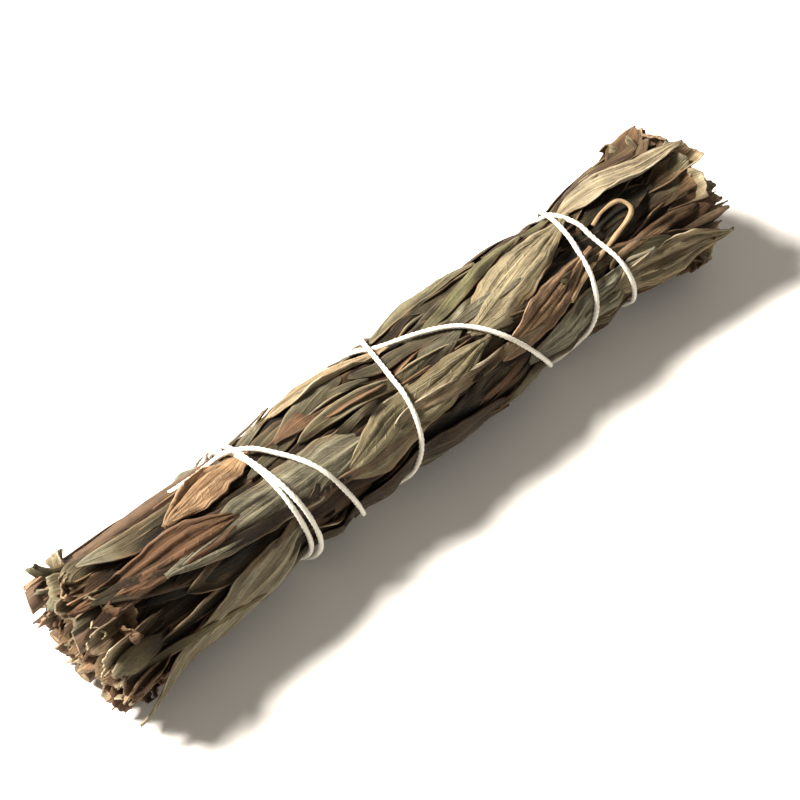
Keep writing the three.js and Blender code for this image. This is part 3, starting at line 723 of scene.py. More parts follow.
def leaf_material(name, margin, blotch, felt):
    """Dried leaf. Margin and blotch are colours, felt is how pale the down on the veins is."""
    material, tree, shader, add = new_material(name)
    tint = add("ShaderNodeAttribute", attribute_name="tint").outputs["Color"]
    where = add("ShaderNodeTexCoord").outputs["Object"]
    blade = add("ShaderNodeUVMap", uv_map="blade").outputs[0]
    parts = add("ShaderNodeSeparateXYZ", {0: blade})
    aside = calculate(add, "ABSOLUTE", calculate(add, "SUBTRACT", parts.outputs[0], 0.5))
    off_centre = product(add, aside, 2.0)
    streak_place = lengthwise_place(add, blade, where)
    streaks = noise(add, streak_place, 1.6, 4.0, 0.6)
    cracks = remap(add, noise(add, streak_place, 3.1, 2.0, 0.5), 0.58, 0.66)
    mottle = noise(add, where, MOTTLE, 4.0, 0.6)
    patches = noise(add, where, PATCHES, 2.0)
    grain = noise(add, where, GRAIN, 2.0)
    ribs = leaf_ribs(add, off_centre, parts.outputs[1])
    shade = product(
        add,
        remap(add, mottle, 0.25, 0.75, 0.5, 1.42),
        remap(add, streaks, 0.3, 0.7, 0.58, 1.36),
        remap(add, grain, 0.3, 0.7, 0.9, 1.1),
        remap(add, cracks, 0.0, 1.0, 1.06, 0.42),
    )
    colour = vector(add, "MULTIPLY", tint, shade)
    blotched = remap(add, patches, 0.56, 0.72, 0.0, 0.6)
    colour = blend_colours(add, blotched, colour, blotch)
    edge = product(add, remap(add, off_centre, 0.72, 1.0), remap(add, mottle, 0.35, 0.6), 0.75)
    colour = blend_colours(add, edge, colour, margin)
    pale = vector(add, "MULTIPLY", tint, (felt, felt, felt * 0.92))
    colour = blend_colours(add, product(add, ribs, 0.45), colour, pale)
    tree.links.new(remap(add, mottle, 0.3, 0.7, 0.62, 0.9), shader.inputs["Roughness"])
    shader.inputs["Sheen Weight"].default_value = 0.05
    shader.inputs["Sheen Tint"].default_value = (0.75, 0.6, 0.42, 1)
    shader.inputs["Sheen Roughness"].default_value = 0.5
    shader.inputs["Specular IOR Level"].default_value = 0.2
    relief = weighted_sum(add, (ribs, 0.7), (streaks, 1.5), (mottle, 0.9), (grain, 0.25), (cracks, -0.5))
    dress_shader(tree, shader, add, colour, relief, 0.9, 0.17 * MM)
    return material


# %% Make the leaf materials
leaf_materials = {
    "leaf_olive": leaf_material("felted_olive_leaf", (0.17, 0.105, 0.055), (0.085, 0.06, 0.032), 1.6),
    "leaf_dark": leaf_material("browned_dark_leaf", (0.08, 0.045, 0.026), (0.03, 0.019, 0.012), 1.7),
    "leaf_straw": leaf_material("yellowed_straw_leaf", (0.20, 0.12, 0.06), (0.16, 0.12, 0.055), 1.35),
    "leaf_caramel": leaf_material("caramel_leaf", (0.13, 0.068, 0.032), (0.13, 0.072, 0.036), 1.4),
    "leaf_russet": leaf_material("russet_leaf", (0.07, 0.035, 0.02), (0.045, 0.024, 0.016), 1.7),
}
leaf_back = leaf_material("felted_leaf_back", (0.20, 0.135, 0.07), (0.14, 0.10, 0.055), 1.3)
# The blades' rims get a pale material: a painted highlight along the leaves' edges.
leaf_rim_highlight = leaf_material("leaf_rim_painted_highlight", (0.60, 0.46, 0.28), (0.34, 0.24, 0.13), 2.2)
print("leaf materials:", ", ".join(leaf_materials), "and their backs")

# %% [markdown]
# The large wrapped leaves are laid out first, because the sprigs' leaves must stay below them. Each keeps
# the place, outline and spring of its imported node. They are the leaves that one notices, so they get more
# rows and columns than the others.

# %% The wrapped leaves' places
WRAP_LEAVES = [  # name, root and tip in mm and degrees, width, spring of the tip, colour, material
    ("olive_point", (-25, 158), (-58.5, 200), 8, 2.2, "sage", "leaf_olive"),
    ("olive_butt", (-11, 124), (-46, 116), 8.5, 0.3, "sage", "leaf_olive"),
    ("caramel", (-25, 62), (-42, 88), 6.5, 0.6, "caramel", "leaf_caramel"),
    ("russet_butt", (-33, 112), (-59, 97), 5, 0.2, "russet", "leaf_russet"),
    ("straw_ridge", (-20, 50), (3, 64), 6, 0.2, "straw", "leaf_straw"),
    ("olive_middle", (-17, 142), (13, 120), 8.5, 0.2, "olive", "leaf_olive"),
    ("dark_side", (12, 186), (-20, 180), 6.5, 0.3, "dark", "leaf_dark"),
    ("yellow_top", (11, 108), (37, 72), 8, 0.2, "hay", "leaf_straw"),
    ("brown_fold", (13, 146), (35, 112), 6, 0.5, "caramel", "leaf_russet"),
    ("olive_side", (18, 176), (44, 146), 7, 0.3, "sage", "leaf_olive"),
    ("pale_tip", (35, 158), (58.5, 172), 7, 1.2, "hay", "leaf_straw"),
    ("tan_tip", (36, 58), (58, 92), 6.5, 1.5, "straw", "leaf_caramel"),
    ("back_butt", (-46, 342), (-12, 366), 8, 0.2, "sage", "leaf_olive"),
    ("back_middle", (24, 340), (-8, 336), 7.5, 0.2, "russet", "leaf_russet"),
    ("back_tip", (18, 372), (53, 358), 8, 1.5, "dark", "leaf_dark"),
    ("back_ridge", (22, 398), (-6, 388), 6.5, 0.2, "olive", "leaf_olive"),
]
print(len(WRAP_LEAVES), "wrapped leaves")

# %% Laying out the wrapped leaves
WRAP_STEP = 0.4 * MM  # how much one of them raises the next


def wrap_points(leaf, rows=64, columns=30):
    """Lays a wrapped leaf over the bundle. Gives its place along the axis, its angle, radius and painted
    shade.
    """
    _, (root_x, root_degrees), (tip_x, tip_degrees), width, spring, _, _ = leaf
    swing = math.radians(tip_degrees - root_degrees)
    run = math.hypot((tip_x - root_x) * MM, swing * RADIUS)
    along_axis = (tip_x - root_x) * MM / run
    around = swing * RADIUS / run
    seed = root_x * 3 + root_degrees
    shape = habits(seed + 9, 0.8)
    shape.update(width=width * MM, outline=pointed, phase=seed, bend=-0.25 + 0.3 * draw(seed + 4))
    shape.update(fold=between(seed + 5, 0.5, 0.75) * MM, pleats=between(seed + 6, 4.5, 6))
    across, along = blade_grid(rows, columns)
    aside, height = blade_shape(shape, across, along)
    x = root_x * MM + along * run * along_axis + aside * around
    angle = math.radians(root_degrees) + (along * run * around - aside * along_axis) / RADIUS
    press = pressing(x, angle, 0.8)
    stand = WRAP_STAND - 0.2 * MM * across**2 + spring * MM * smoothstep(along, 0.65, 1)
    root = 0.5 * MM * (1 - smoothstep(along, 0, 0.15))
    radius = envelope(x, angle) + stand - root + height * press
    # Painted light and shade: raised creases and the edges are painted lighter, hollows darker.
    return x, angle, radius, painted_light_and_shade(across, -1.2 * height * press)


wrap_layout = {}
for leaf in WRAP_LEAVES:
    x, angle, radius, shade = wrap_points(leaf)
    beneath = look_up(wrapped, x, angle)
    wrap_layout[leaf[0]] = x, angle, radius + WRAP_STEP * np.minimum(beneath, 1.5), shade
    mark(wrapped, x, angle)
wrapped = np.minimum(wrapped, 1)
print("wrapped leaves cover", round(float(wrapped.mean()) * 100), "% of the bundle")

# %% [markdown]
# Under its leaves each sprig is a packed mass that is hardly seen, only as darkness and a few edges between
# the blades. Its near-black colour is painted shade for the gaps between the blades. It is one closed block
# for each sprig, a sector of the bundle with pleated skin.

# %% Packed cores
CORE_DEPTH = 2.15 * MM
CORE_END = 5.5 * MM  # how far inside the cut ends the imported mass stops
# Painted shade: the packed mass is near black so that the gaps between the blades look like deep shade.
CORE_TINT = (0.024, 0.016, 0.010)


def add_ring_core(bm, sprig, rings=90):
    """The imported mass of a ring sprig."""
    x = np.linspace(-1, 1, rings) * (LENGTH / 2 - CORE_END)
    sector = np.linspace(-1, 1, 26) * 0.97
    outer = np.stack([sprig_angle(sprig, xi) + sector * math.pi / RING_SPRIGS for xi in x])
    x = np.repeat(x[:, None], len(sector), axis=1)
    radius = envelope(x, outer) - CORE_DEPTH
    skin = radius + 0.22 * MM * np.sin(26 * outer + 3 * np.sin(x / MM * 0.09))
    skin = skin + 0.12 * MM * np.sin(x / MM * 0.9)
    outer = outer + SHINGLE * (radius - HEART_RADIUS)
    inner = outer[:, ::-1] - SHINGLE * (radius[:, ::-1] - HEART_RADIUS)
    hollow = np.full(inner.shape, HEART_RADIUS - 0.5 * MM)
    angles = np.hstack([outer, inner])
    radii = np.hstack([skin, hollow])
    add_tube(bm, place(np.hstack([x, x]), angles, radii), CORE_TINT)


def add_heart_core(bm, rings=40, sides=28):
    """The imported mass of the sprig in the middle."""
    x = np.repeat(np.linspace(-1, 1, rings)[:, None] * (LENGTH / 2 - CORE_END - MM), sides, axis=1)
    angle = np.repeat(np.linspace(0, TAU, sides, endpoint=False)[None, :], rings, axis=0)
    radius = HEART_RADIUS - 0.7 * MM + 0.15 * MM * np.sin(5 * angle + x / MM * 0.2)
    add_tube(bm, place(x, angle, radius), CORE_TINT)


print("packed mass:", round(CORE_DEPTH / MM, 2), "mm below the leaves' surface")

# %% [markdown]
# A ring sprig's leaves go on in three layers. First come hidden leaves that close the ground, then the
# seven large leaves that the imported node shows, in their places, then narrow dry strips folded
# lengthwise, whose edges catch the light.

# %% Where a ring sprig's leaves lie
OUTER_LEAVES = 7
SHOWN_COLUMNS = (-0.62, 0.08, 0.7)  # places across a sprig, from edge to edge
UNDER_COLUMNS = (-0.8, 0.25, -0.3, 0.8)


def pointing(sprig, k, back_if_reversed, back_if_not):
    """Which way a leaf points. Most point to the tip, and in a reversed sprig to the butt."""
    return -1 if draw(k) < (back_if_reversed if sprig in REVERSED else back_if_not) else 1


def leaf_place(sprig, length, direction, share, column, trim=0):
    """Where a leaf starts, from its share of the way along its sprig and its column across it."""
    start = -LENGTH / 2 + trim + share * (LENGTH - length - 2 * trim)
    x = start if direction > 0 else start + length
    angle = sprig_angle(sprig, x) + SHINGLE * (RADIUS - HEART_RADIUS) + column * math.pi / RING_SPRIGS
    return {"x": x, "length": length, "direction": direction, "angle": angle}


def springing(seed, low, high, chance=0.4):
    """How far a leaf's tip springs away. Most don't."""
    return between(seed + 12, low, high) * MM if draw(seed + 11) < chance else 0


print("reversed sprigs, which lie tip to butt:", REVERSED)


# %% A ring sprig's three layers
def under_leaves(sprig, count=16):
    """Hidden leaves that close the ground."""
    for j in range(count):
        seed = sprig * 211 + j * 13
        length = between(seed + 1, 18, 28) * MM
        direction = pointing(sprig, seed + 2, 0.65, 0.3)
        share = (j + draw(seed + 3)) / count
        column = UNDER_COLUMNS[j % 4] + between(seed + 4, -0.15, 0.15)
        yield seed, {
            **leaf_place(sprig, length, direction, share, column),
            "width": between(seed + 5, 3.6, 6) * MM,
            "lean": between(seed + 6, -0.2, 0.2),
        }


def shown_leaves(sprig, count=OUTER_LEAVES):
    """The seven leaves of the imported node, from the same draws."""
    for j in range(count):
        seed = sprig * 131 + j * 7
        direction = pointing(sprig, seed + 1, 0.7, 0.25)
        length = between(seed + 2, 24, 33) * MM
        share = (j + draw(seed + 3) * 0.8) / count
        column = SHOWN_COLUMNS[j % 3] + between(seed + 4, -0.14, 0.14)
        trim = between(seed + 13, 0.6, 2.4) * MM
        yield seed, {
            **leaf_place(sprig, length, direction, share, column, trim),
            "width": between(seed + 5, 5.2, 7) * MM,
            "lean": between(seed + 6, -0.16, 0.16),
            "sink": between(seed + 8, -0.75, -0.3) * MM,
            "rise": between(seed + 9, 0.7, 1.25) * MM,
            "flare": springing(seed, 0.3, 1.1),
        }


def strip_leaves(sprig, count=14):
    """Narrow dry strips. Every fourth lies over everything else."""
    for j in range(count):
        seed = sprig * 307 + j * 17 + 5
        length = between(seed + 1, 18, 42) * MM
        direction = pointing(sprig, seed + 2, 0.6, 0.35)
        share = (j + draw(seed + 3)) / count
        column = between(seed + 4, -0.95, 0.95)
        yield seed, {
            **leaf_place(sprig, length, direction, share, column),
            "width": between(seed + 5, 1.5, 3.3) * MM,
            "lean": between(seed + 6, -0.2, 0.2),
            "outline": strap,
            "over": 0.55 * MM if j % 4 == 0 else 0,
            "flare": springing(seed, 0.2, 1.0),
            "depth": between(seed + 7, 1.0, 1.6) * MM,
        }


LAYERS = (under_leaves, shown_leaves, strip_leaves)
print("leaves in the layers of a ring sprig:", [len(list(layer(1))) for layer in LAYERS])

# %% Laying the three layers
# Painted shade: the hidden leaves are painted darker so that the gaps between the blades look deep.
UNDER_SHADE = 0.4  # the hidden leaves' tint, as a share of the shown ones'


def add_leaves(bm, sprig):
    """Lays a ring sprig's three layers, from the inside out."""
    for seed, leaf in under_leaves(sprig):
        tint = tuple(UNDER_SHADE * value for value in mixed_tint(sprig, seed))
        lay_blade(bm, {**habits(seed), "tint": tint, **leaf}, rows=24, columns=10)
    for seed, leaf in shown_leaves(sprig):
        tint = mixed_tint(sprig, seed + 3)
        lay_blade(bm, {**habits(seed), "tint": tint, **leaf}, rows=40, columns=18)
    for seed, leaf in strip_leaves(sprig):
        tint = mixed_tint(sprig, seed + 6)
        lay_blade(bm, {**habits(seed, 1.3), "tint": tint, **leaf}, rows=34, columns=8)


# %% [markdown]
# At the two ends the leaves are cut or dried to ragged tips and are seen on edge. Each is a narrow bowed
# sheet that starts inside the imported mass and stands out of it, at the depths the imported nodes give, and
# some curl over at the very end.

# %% Where a cut leaf end stands
ENDS_DEEP = 12 * MM
GOLDEN_TURN = 0.381966  # successive places at this share of a turn spread evenly
GOLDEN_SHARE = 0.618034


def end_leaf_middle(sprig, k, end, count, seed):
    """Radius and angle of the middle of a cut leaf end."""
    share = ((k + draw(seed + 1)) / count) ** 0.8
    if sprig == 0:
        return HEART_RADIUS * math.sqrt(share) * 0.92, TAU * k * GOLDEN_TURN
    deep = math.sqrt(HEART_RADIUS**2 + share * ((RADIUS - 0.6 * MM) ** 2 - HEART_RADIUS**2))
    spread = ((k * GOLDEN_SHARE) % 1 - 0.5) * 1.9
    middle = sprig_angle(sprig, end * 56 * MM) + SHINGLE * (deep - HEART_RADIUS)
    return deep, middle + spread * math.pi / RING_SPRIGS


def end_leaf_section(across, along, seed):
    """A cut leaf end's bowed and creased section: how far each point is to the side and how high."""
    half = between(seed + 2, 1.2, 3.2) * MM * (0.8 + 0.2 * np.sin(6 * along + seed))
    half = half * (0.06 + 0.94 * smoothstep(along, 0, 0.55)) * (1 - 0.3 * smoothstep(along, 0.85, 1))
    bow = np.full(across.shape, between(seed + 3, -1.5, 1.5))
    aside, height = curled_row(across, half, bow, 0, between(seed + 8, -0.5, 1.5))
    creases = {"pleats": between(seed + 12, 1.6, 3), "phase": draw(seed + 13) * TAU}
    return aside, height + between(seed + 14, 0.15, 0.5) * MM * creased(creases, across, along)


print("cut leaf ends reach", round(ENDS_DEEP / MM), "mm into the bundle")

# %% Cut and curled leaf ends
ENDS_OUT = 1.1 * MM  # how far they may stand out of the bundle
END_TINTS = ("straw", "hay", "olive", "caramel", "russet", "caramel")


def add_end_leaf(bm, sprig, k, end, count, rows=18, columns=10):
    """Adds one leaf that ends at the butt (end -1) or the tip (end 1)."""
    seed = sprig * 97 + k * 31 + (500 if end > 0 else 0)
    deep, middle = end_leaf_middle(sprig, k, end, count, seed)
    across, along = blade_grid(rows, columns)
    tilt = between(seed + 4, -1.1, 1.1)
    aside, height = end_leaf_section(across, along, seed)
    trim = (0.1 + 3.6 * draw(seed + 5) ** 1.3) * MM
    ragged = (0.6 * np.sin(2.2 * across + seed) + 0.15 * np.sin(9 * across + 2 * seed)) * MM
    reach = LENGTH / 2 - trim + ragged * smoothstep(along, 0.6, 1) - 0.5 * MM
    full_curl = between(seed + 7, -0.5, 2.6) if draw(seed + 10) < 0.6 else between(seed + 7, -0.3, 0.3)
    turned = full_curl * smoothstep(along, 0.55, 1) ** 1.4
    step = ENDS_DEEP / rows
    forwards = np.cumsum(np.cos(turned), axis=0) * step
    outwards = np.cumsum(np.sin(turned), axis=0) * step
    x = LENGTH / 2 - ENDS_DEEP - trim + forwards - forwards[:1] + (reach - LENGTH / 2 + trim) * along
    x = end * np.minimum(x, LENGTH / 2)
    splay = between(seed + 6, 0, 2.2) * MM * along**2 * (deep / RADIUS) ** 2
    root = 1.2 * MM * (1 - smoothstep(along, 0, 0.45)) * (deep / RADIUS)
    radius = deep + splay - root + height * math.cos(tilt) + aside * math.sin(tilt)
    radius = radius + (outwards - outwards[:1]) * (1 if draw(seed + 11) < 0.7 else -1)
    angle = middle + (aside * math.cos(tilt) - height * math.sin(tilt)) / max(deep, 1.5 * MM)
    radius = np.clip(radius, 0.1 * MM, envelope(x, angle) + ENDS_OUT)
    tint = leaf_tint(END_TINTS[int(draw(seed + 9) * 6)], seed)
    # Painted light and shade: a leaf end is painted darkest where it starts deep in the bundle and near the
    # axis, lighter outwards and lightest at its tip, with lighter edges.
    inside = smoothstep(along, 0.35, 0.95) * (0.5 + 0.5 * deep / RADIUS)
    shade = 0.12 + 0.68 * inside + 0.6 * smoothstep(along, 0.86, 1)
    add_sheet(bm, place(x, angle, radius), tint, shade * painted_light_and_shade(across, 0))


def add_end_leaves(bm, sprig, count=21):
    """Adds a sprig's leaf ends at both ends of the bundle."""
    for end in (-1, 1):
        for k in range(count):
            add_end_leaf(bm, sprig, k, end, count)


# %% Make the sprigs' leaves
def sprig_name(sprig):
    """The last part of the names of a sprig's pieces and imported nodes."""
    return "heart" if sprig == 0 else "ring_" + str(sprig)


sprig_pieces = []
for sprig in range(RING_SPRIGS + 1):
    bm = start_piece()
    if sprig > 0:
        add_leaves(bm, sprig)
    add_end_leaves(bm, sprig)
    bm = thickened(bm, BLADE)
    if sprig > 0:
        add_ring_core(bm, sprig)
    else:
        add_heart_core(bm)
    name = sprig_name(sprig)
    slot = "leaf_" + SPRIG_TINTS[sprig]
    sides = [leaf_materials[slot], leaf_back, leaf_rim_highlight]
    sprig_pieces.append(finish_piece(bm, "dried_leaves_" + name, sides, slot, "leaves_" + name))

# %% Make the wrapped leaves
wrap_pieces = []
for leaf in WRAP_LEAVES:
    name, _, (tip_x, _), _, _, colour, slot = leaf
    bm = start_piece()
    x, angle, radius, shade = wrap_layout[name]
    add_sheet(bm, place(x, angle, radius), leaf_tint(colour, tip_x), shade)
    bm = thickened(bm, BLADE)
    sides = [leaf_materials[slot], leaf_back, leaf_rim_highlight]
    wrap_pieces.append(finish_piece(bm, "wrapped_leaf_" + name, sides, slot, "wrap_" + name))

# %% [markdown]
# Stems are woody: a tube with lengthwise grooves and a few swollen nodes, tapering to the tip, cut on a
# slant at the butt. The cut face is inset twice, so that bark, wood and pith each get their own ring.

# %% Stem materials
def bark_material(name, light, dark):
    """Dry bark: streaks along the stem between a light and a dark brown."""
    material, tree, shader, add = new_material(name)
    where = add("ShaderNodeTexCoord").outputs["Object"]
    along = add("ShaderNodeUVMap", uv_map="blade").outputs[0]
    stretched = add("ShaderNodeMapping", {"Vector": along, "Scale": (16.0, 2.0, 1.0)}).outputs[0]
    streaks = noise(add, stretched, 3.0, 5.0, 0.65)
    spots = noise(add, where, 700.0, 3.0)
    share = weighted_sum(add, (streaks, 0.7), (spots, 0.3))
    colour = blend_colours(add, remap(add, share, 0.38, 0.62), dark, light)
    shader.inputs["Roughness"].default_value = 0.78
    dress_shader(tree, shader, add, colour, share, 0.8, 0.2 * MM)
    return material


def cut_material(name, light, dark):
    """A cut face: fine open pores between two tones."""
    material, tree, shader, add = new_material(name)
    where = add("ShaderNodeTexCoord").outputs["Object"]
    pores = add("ShaderNodeTexVoronoi", {"Vector": where, "Scale": 5200.0}).outputs["Distance"]
    blots = noise(add, where, 900.0, 3.0)
    share = product(add, remap(add, pores, 0.1, 0.5), remap(add, blots, 0.3, 0.6, 0.4, 1.0))
    shader.inputs["Roughness"].default_value = 0.9
    dress_shader(tree, shader, add, blend_colours(add, share, dark, light), pores, 0.6, 0.1 * MM)
    return material


bark = bark_material("mugwort_bark", (0.15, 0.085, 0.042), (0.04, 0.022, 0.012))
cut_wood = cut_material("cut_wood", (0.26, 0.17, 0.09), (0.085, 0.05, 0.026))
pith = cut_material("stem_pith", (0.38, 0.29, 0.17), (0.16, 0.11, 0.06))
STEM_TINT = (0.3, 0.2, 0.1)
print("stem materials:", bark.name, cut_wood.name, pith.name)


# %% The stems' lines and rings
STEM_RING = 6.9 * MM  # how far from the axis a ring sprig's stem lies
STEM_RISE = 1.7 * MM  # how far two of them come up to the surface towards the butt


def stem_line(sprig, x):
    """Radius and angle of a stem's centre line."""
    butt = x if sprig in REVERSED else -x
    if sprig == 0:
        return np.full(np.shape(x), 0.5 * MM), np.full(np.shape(x), 1.0)
    shown = STEM_RISE * smoothstep(butt, -8 * MM, 24 * MM) if sprig in SURFACE_STEMS else 0
    radius = STEM_RING + shown + 0.25 * MM * np.sin(x / MM * 0.12 + sprig)
    return radius, sprig_angle(sprig, x) + SHINGLE * (radius - HEART_RADIUS)


def stem_rings(sprig, count=70, sides=20):
    """Rings of a stem, from its thin end to its cut one."""
    towards = 1 if sprig in REVERSED else -1
    cut = between(sprig * 29 + 1, 0, 2.4) * MM
    slant = between(sprig * 29 + 2, -0.5, 0.5)
    thick = between(sprig * 29 + 3, 1.15, 1.45) * MM
    span = between(sprig * 29 + 4, 88, 112) * MM
    butt = np.linspace(0, 1, count)[:, None]
    turn = np.linspace(0, TAU, sides, endpoint=False)[None, :]
    taper = thick * (0.55 + 0.45 * butt) * (1 + 0.1 * np.sin(butt * 26))
    grooves = 1 + 0.05 * np.sin(6 * turn + 4 * butt) + 0.03 * np.sin(11 * turn - 9 * butt)
    swelling = 0.16 * np.exp(-(((butt * 9 + sprig * 0.3) % 1 - 0.5) / 0.06) ** 2)
    knots = 1 + swelling * (1 + np.sin(turn + 14 * butt)) / 2
    radius = taper * grooves * knots
    last = smoothstep(butt, 0.97, 1)
    x = towards * (LENGTH / 2 - cut - span * (1 - butt) + slant * radius * np.cos(turn) * last)
    x = np.clip(x, -LENGTH / 2 - 0.2 * MM, LENGTH / 2)
    line_radius, line_angle = stem_line(sprig, np.clip(x, -LENGTH / 2, LENGTH / 2))
    centre = place(x, line_angle, line_radius)
    centre[..., 1] += radius * np.cos(turn)
    centre[..., 2] = np.maximum(centre[..., 2] + radius * np.sin(turn), 0.2 * MM)
    return centre


print("ring sprigs' stems lie", round(STEM_RING / MM, 1), "mm from the axis")

# %% The stems' cut faces
BARK, WOOD, PITH = 0, 1, 2  # material slots of a stem
BARK_THICK = 0.18 * MM
WOOD_SHARE = 0.55


def inset(bm, face, thickness, depth, ring_material):
    """Insets one face and gives the ring round it a material."""
    ring = bmesh.ops.inset_individual(bm, faces=[face], thickness=thickness, depth=depth)["faces"]
    for side in ring:
        side.material_index = ring_material


def dress_cut(bm, faces):
    """Splits a stem's cut faces into bark, wood and pith."""
    for face in faces:
        face.material_index = WOOD
        inset(bm, face, BARK_THICK, 0.03 * MM, BARK)
        size = math.sqrt(face.calc_area() / math.pi)
        inset(bm, face, size * WOOD_SHARE, -0.08 * MM, WOOD)
        face.material_index = PITH


# %% Make the stems
for sprig in range(RING_SPRIGS + 1):
    bm = start_piece()
    ends = add_tube(bm, stem_rings(sprig), STEM_TINT)
    dress_cut(bm, ends)
    name = sprig_name(sprig)
    finish_piece(bm, "woody_stem_" + name, [bark, cut_wood, pith], "stem", "stem_" + name)

# %% [markdown]
# What lies over the leaves is fitted to them by casting rays at the axis from outside and seeing where
# they strike. A search tree for each finished piece makes thousands of rays quick.

# %% Finding the surface of the finished leaves
depsgraph = bpy.context.evaluated_depsgraph_get()
trees = [BVHTree.FromObject(piece, depsgraph) for piece in sprig_pieces + wrap_pieces]
print("search trees:", len(trees))


def surface_radius(x, angle):
    """Outermost radius of the leaves at a place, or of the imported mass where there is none."""
    far = RADIUS + 10 * MM
    start = Vector((x, far * math.cos(angle), AXIS_HEIGHT + far * math.sin(angle)))
    towards = Vector((0, -math.cos(angle), -math.sin(angle)))
    hits = [tree.ray_cast(start, towards, far)[3] for tree in trees]
    hits = [distance for distance in hits if distance is not None]
    return far - min(hits) if hits else float(envelope(x, angle)) - LEAF_LAYER


def point_on(x, angle, radius):
    """One point of the bundle, not squeezed."""
    return (x, radius * math.cos(angle), AXIS_HEIGHT + radius * math.sin(angle))


# %% [markdown]
# The thread is taut, so it bridges hollows and lies on ridges: its height is mostly the highest surface
# nearby. Where it crosses an earlier turn it passes over it in a low hump. Under the bundle it stays
# clear of the table.

# %% The thread's line
STRAND = 0.77 * MM  # the dressed thread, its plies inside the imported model's round one
TABLE_GAP = 0.35 * MM
TURN_STEP = 2.5  # degrees between the points of its line
TAUT_REACH = 8  # points on either side that hold the thread up
RIDGES, HOLLOWS = 0.55, 0.45  # how much the thread follows the highest and the mean surface nearby
TURN_BACK = 1263  # degrees at which the thread has reached the tip and turns back
LEAST_LAP = 100  # degrees, so that a turn isn't taken to cross itself
HUMP_FOOT = 4.2 * MM  # how far from a crossing the thread starts to rise
HUMP_TOP = 1.1 * MM
EASING = np.array((1, 3, 5, 6, 5, 3, 1)) / 24


def thread_line():
    """Points along the middle of the thread on the bundle."""
    turned = np.arange(FIRST_TURN, LAST_TURN + 0.1, TURN_STEP)
    x = route_at(turned)
    angle = np.radians(turned)
    beside = (-0.35 * MM, 0, 0.35 * MM)
    surface = [max(surface_radius(xi + b, ai) for b in beside) for xi, ai in zip(x, angle)]
    surface = np.array(surface) + STRAND * 0.42
    padded = np.pad(surface, TAUT_REACH, mode="edge")
    windows = np.lib.stride_tricks.sliding_window_view(padded, 2 * TAUT_REACH + 1)
    taut = RIDGES * windows.max(axis=1) + HOLLOWS * windows.mean(axis=1)
    most = (AXIS_HEIGHT - STRAND / 2 - TABLE_GAP) / np.maximum(-np.sin(angle), 0.05)
    crossing = STRAND * 0.96
    radius = np.minimum(taut, np.where(turned < TURN_BACK, most - crossing, most))
    gap = int(LEAST_LAP / TURN_STEP)
    for i in range(gap + 1, len(turned)):
        earlier = slice(0, i - gap)
        apart = turned[i] - turned[earlier]
        around = np.radians(apart - 360 * np.round(apart / 360)) * RADIUS
        distance = np.hypot(around, x[i] - x[earlier])
        hump = smoothstep(-distance, -HUMP_FOOT, -HUMP_TOP) * (radius[earlier] + crossing - radius[i])
        radius[i] = max(radius[i], min(radius[i] + hump.max(), most[i]))
    radius = np.convolve(np.pad(radius, len(EASING) // 2, mode="edge"), EASING, mode="valid")
    return np.array([point_on(*row) for row in zip(x, angle, radius)])


def path_length(points):
    """Length of a path."""
    return float(np.linalg.norm(np.diff(points, axis=0), axis=1).sum())


thread_path = thread_line()
print("thread on the bundle:", round(path_length(thread_path) / MM), "mm")


# %% [markdown]
# Cotton thread is three plies twisted together, so its section has three lobes that turn along it. Real
# plies would need three tubes. One tube with a lobed section looks the same and has a third of the faces.

# %% Twisted thread
TWIST_PITCH = 2.4 * MM  # length in which the plies turn once
THREAD_SIDES = 12
STRAND_STEP = 0.24 * MM
LOBE = 0.13  # how far the plies stand out, as a share of the thread's radius
COTTON_TINT = (0.85, 0.82, 0.74)


def even_path(points, step):
    """The same path with points an even step apart."""
    fine = catmull_rom(points, 8)
    run = np.concatenate([[0], np.cumsum(np.linalg.norm(np.diff(fine, axis=0), axis=1))])
    at = np.linspace(0, run[-1], max(int(run[-1] / step), 4))
    return np.stack([np.interp(at, run, fine[:, k]) for k in range(3)], axis=1), at


def add_strand(bm, points, thickness, taper=0.0):
    """Adds a stretch of twisted thread."""
    path, at = even_path(points, STRAND_STEP)
    turn = np.linspace(0, TAU, THREAD_SIDES, endpoint=False)[None, :]
    lobes = 1 + LOBE * np.cos(3 * (turn - TAU * at[:, None] / TWIST_PITCH))
    uneven = 1 + 0.05 * np.sin(at[:, None] / MM * 1.7) + 0.04 * np.sin(at[:, None] / MM * 0.61 + 2)
    radius = thickness / 2 * 0.93 * lobes * uneven * (1 - taper * (at[:, None] / at[-1]) ** 3)
    add_tube(bm, rings_along(path, radius), COTTON_TINT)


print("the plies turn once in", round(TWIST_PITCH / MM, 1), "mm")

# %% [markdown]
# The cotton is matt and a little soiled. One fine noise stands for its fibres, and a coarse one for the
# dust that it has picked up from the leaves.

# %% Cotton material
def cotton_material():
    """Matt white cotton with a soft sheen and fine fibres that follow the twist."""
    material, tree, shader, add = new_material("white_cotton")
    where = add("ShaderNodeTexCoord").outputs["Object"]
    fibres = noise(add, where, 4200.0, 3.0, 0.6)
    soil = noise(add, where, 220.0, 2.0)
    colour = blend_colours(add, remap(add, fibres, 0.3, 0.7), (0.70, 0.65, 0.55), (0.86, 0.83, 0.76))
    colour = blend_colours(add, remap(add, soil, 0.5, 0.75, 0.0, 0.35), colour, (0.62, 0.53, 0.38))
    shader.inputs["Roughness"].default_value = 0.85
    shader.inputs["Sheen Weight"].default_value = 0.3
    dress_shader(tree, shader, add, colour, fibres, 0.6, 0.06 * MM)
    return material


cotton = cotton_material()
print("thread material:", cotton.name)

# %% [markdown]
# The knot is a small overhand knot, whose curve is a sum of a few sines. Its two cut ends run over the
# leaves of the far side and finish in loose fibres, because cut cotton frays.

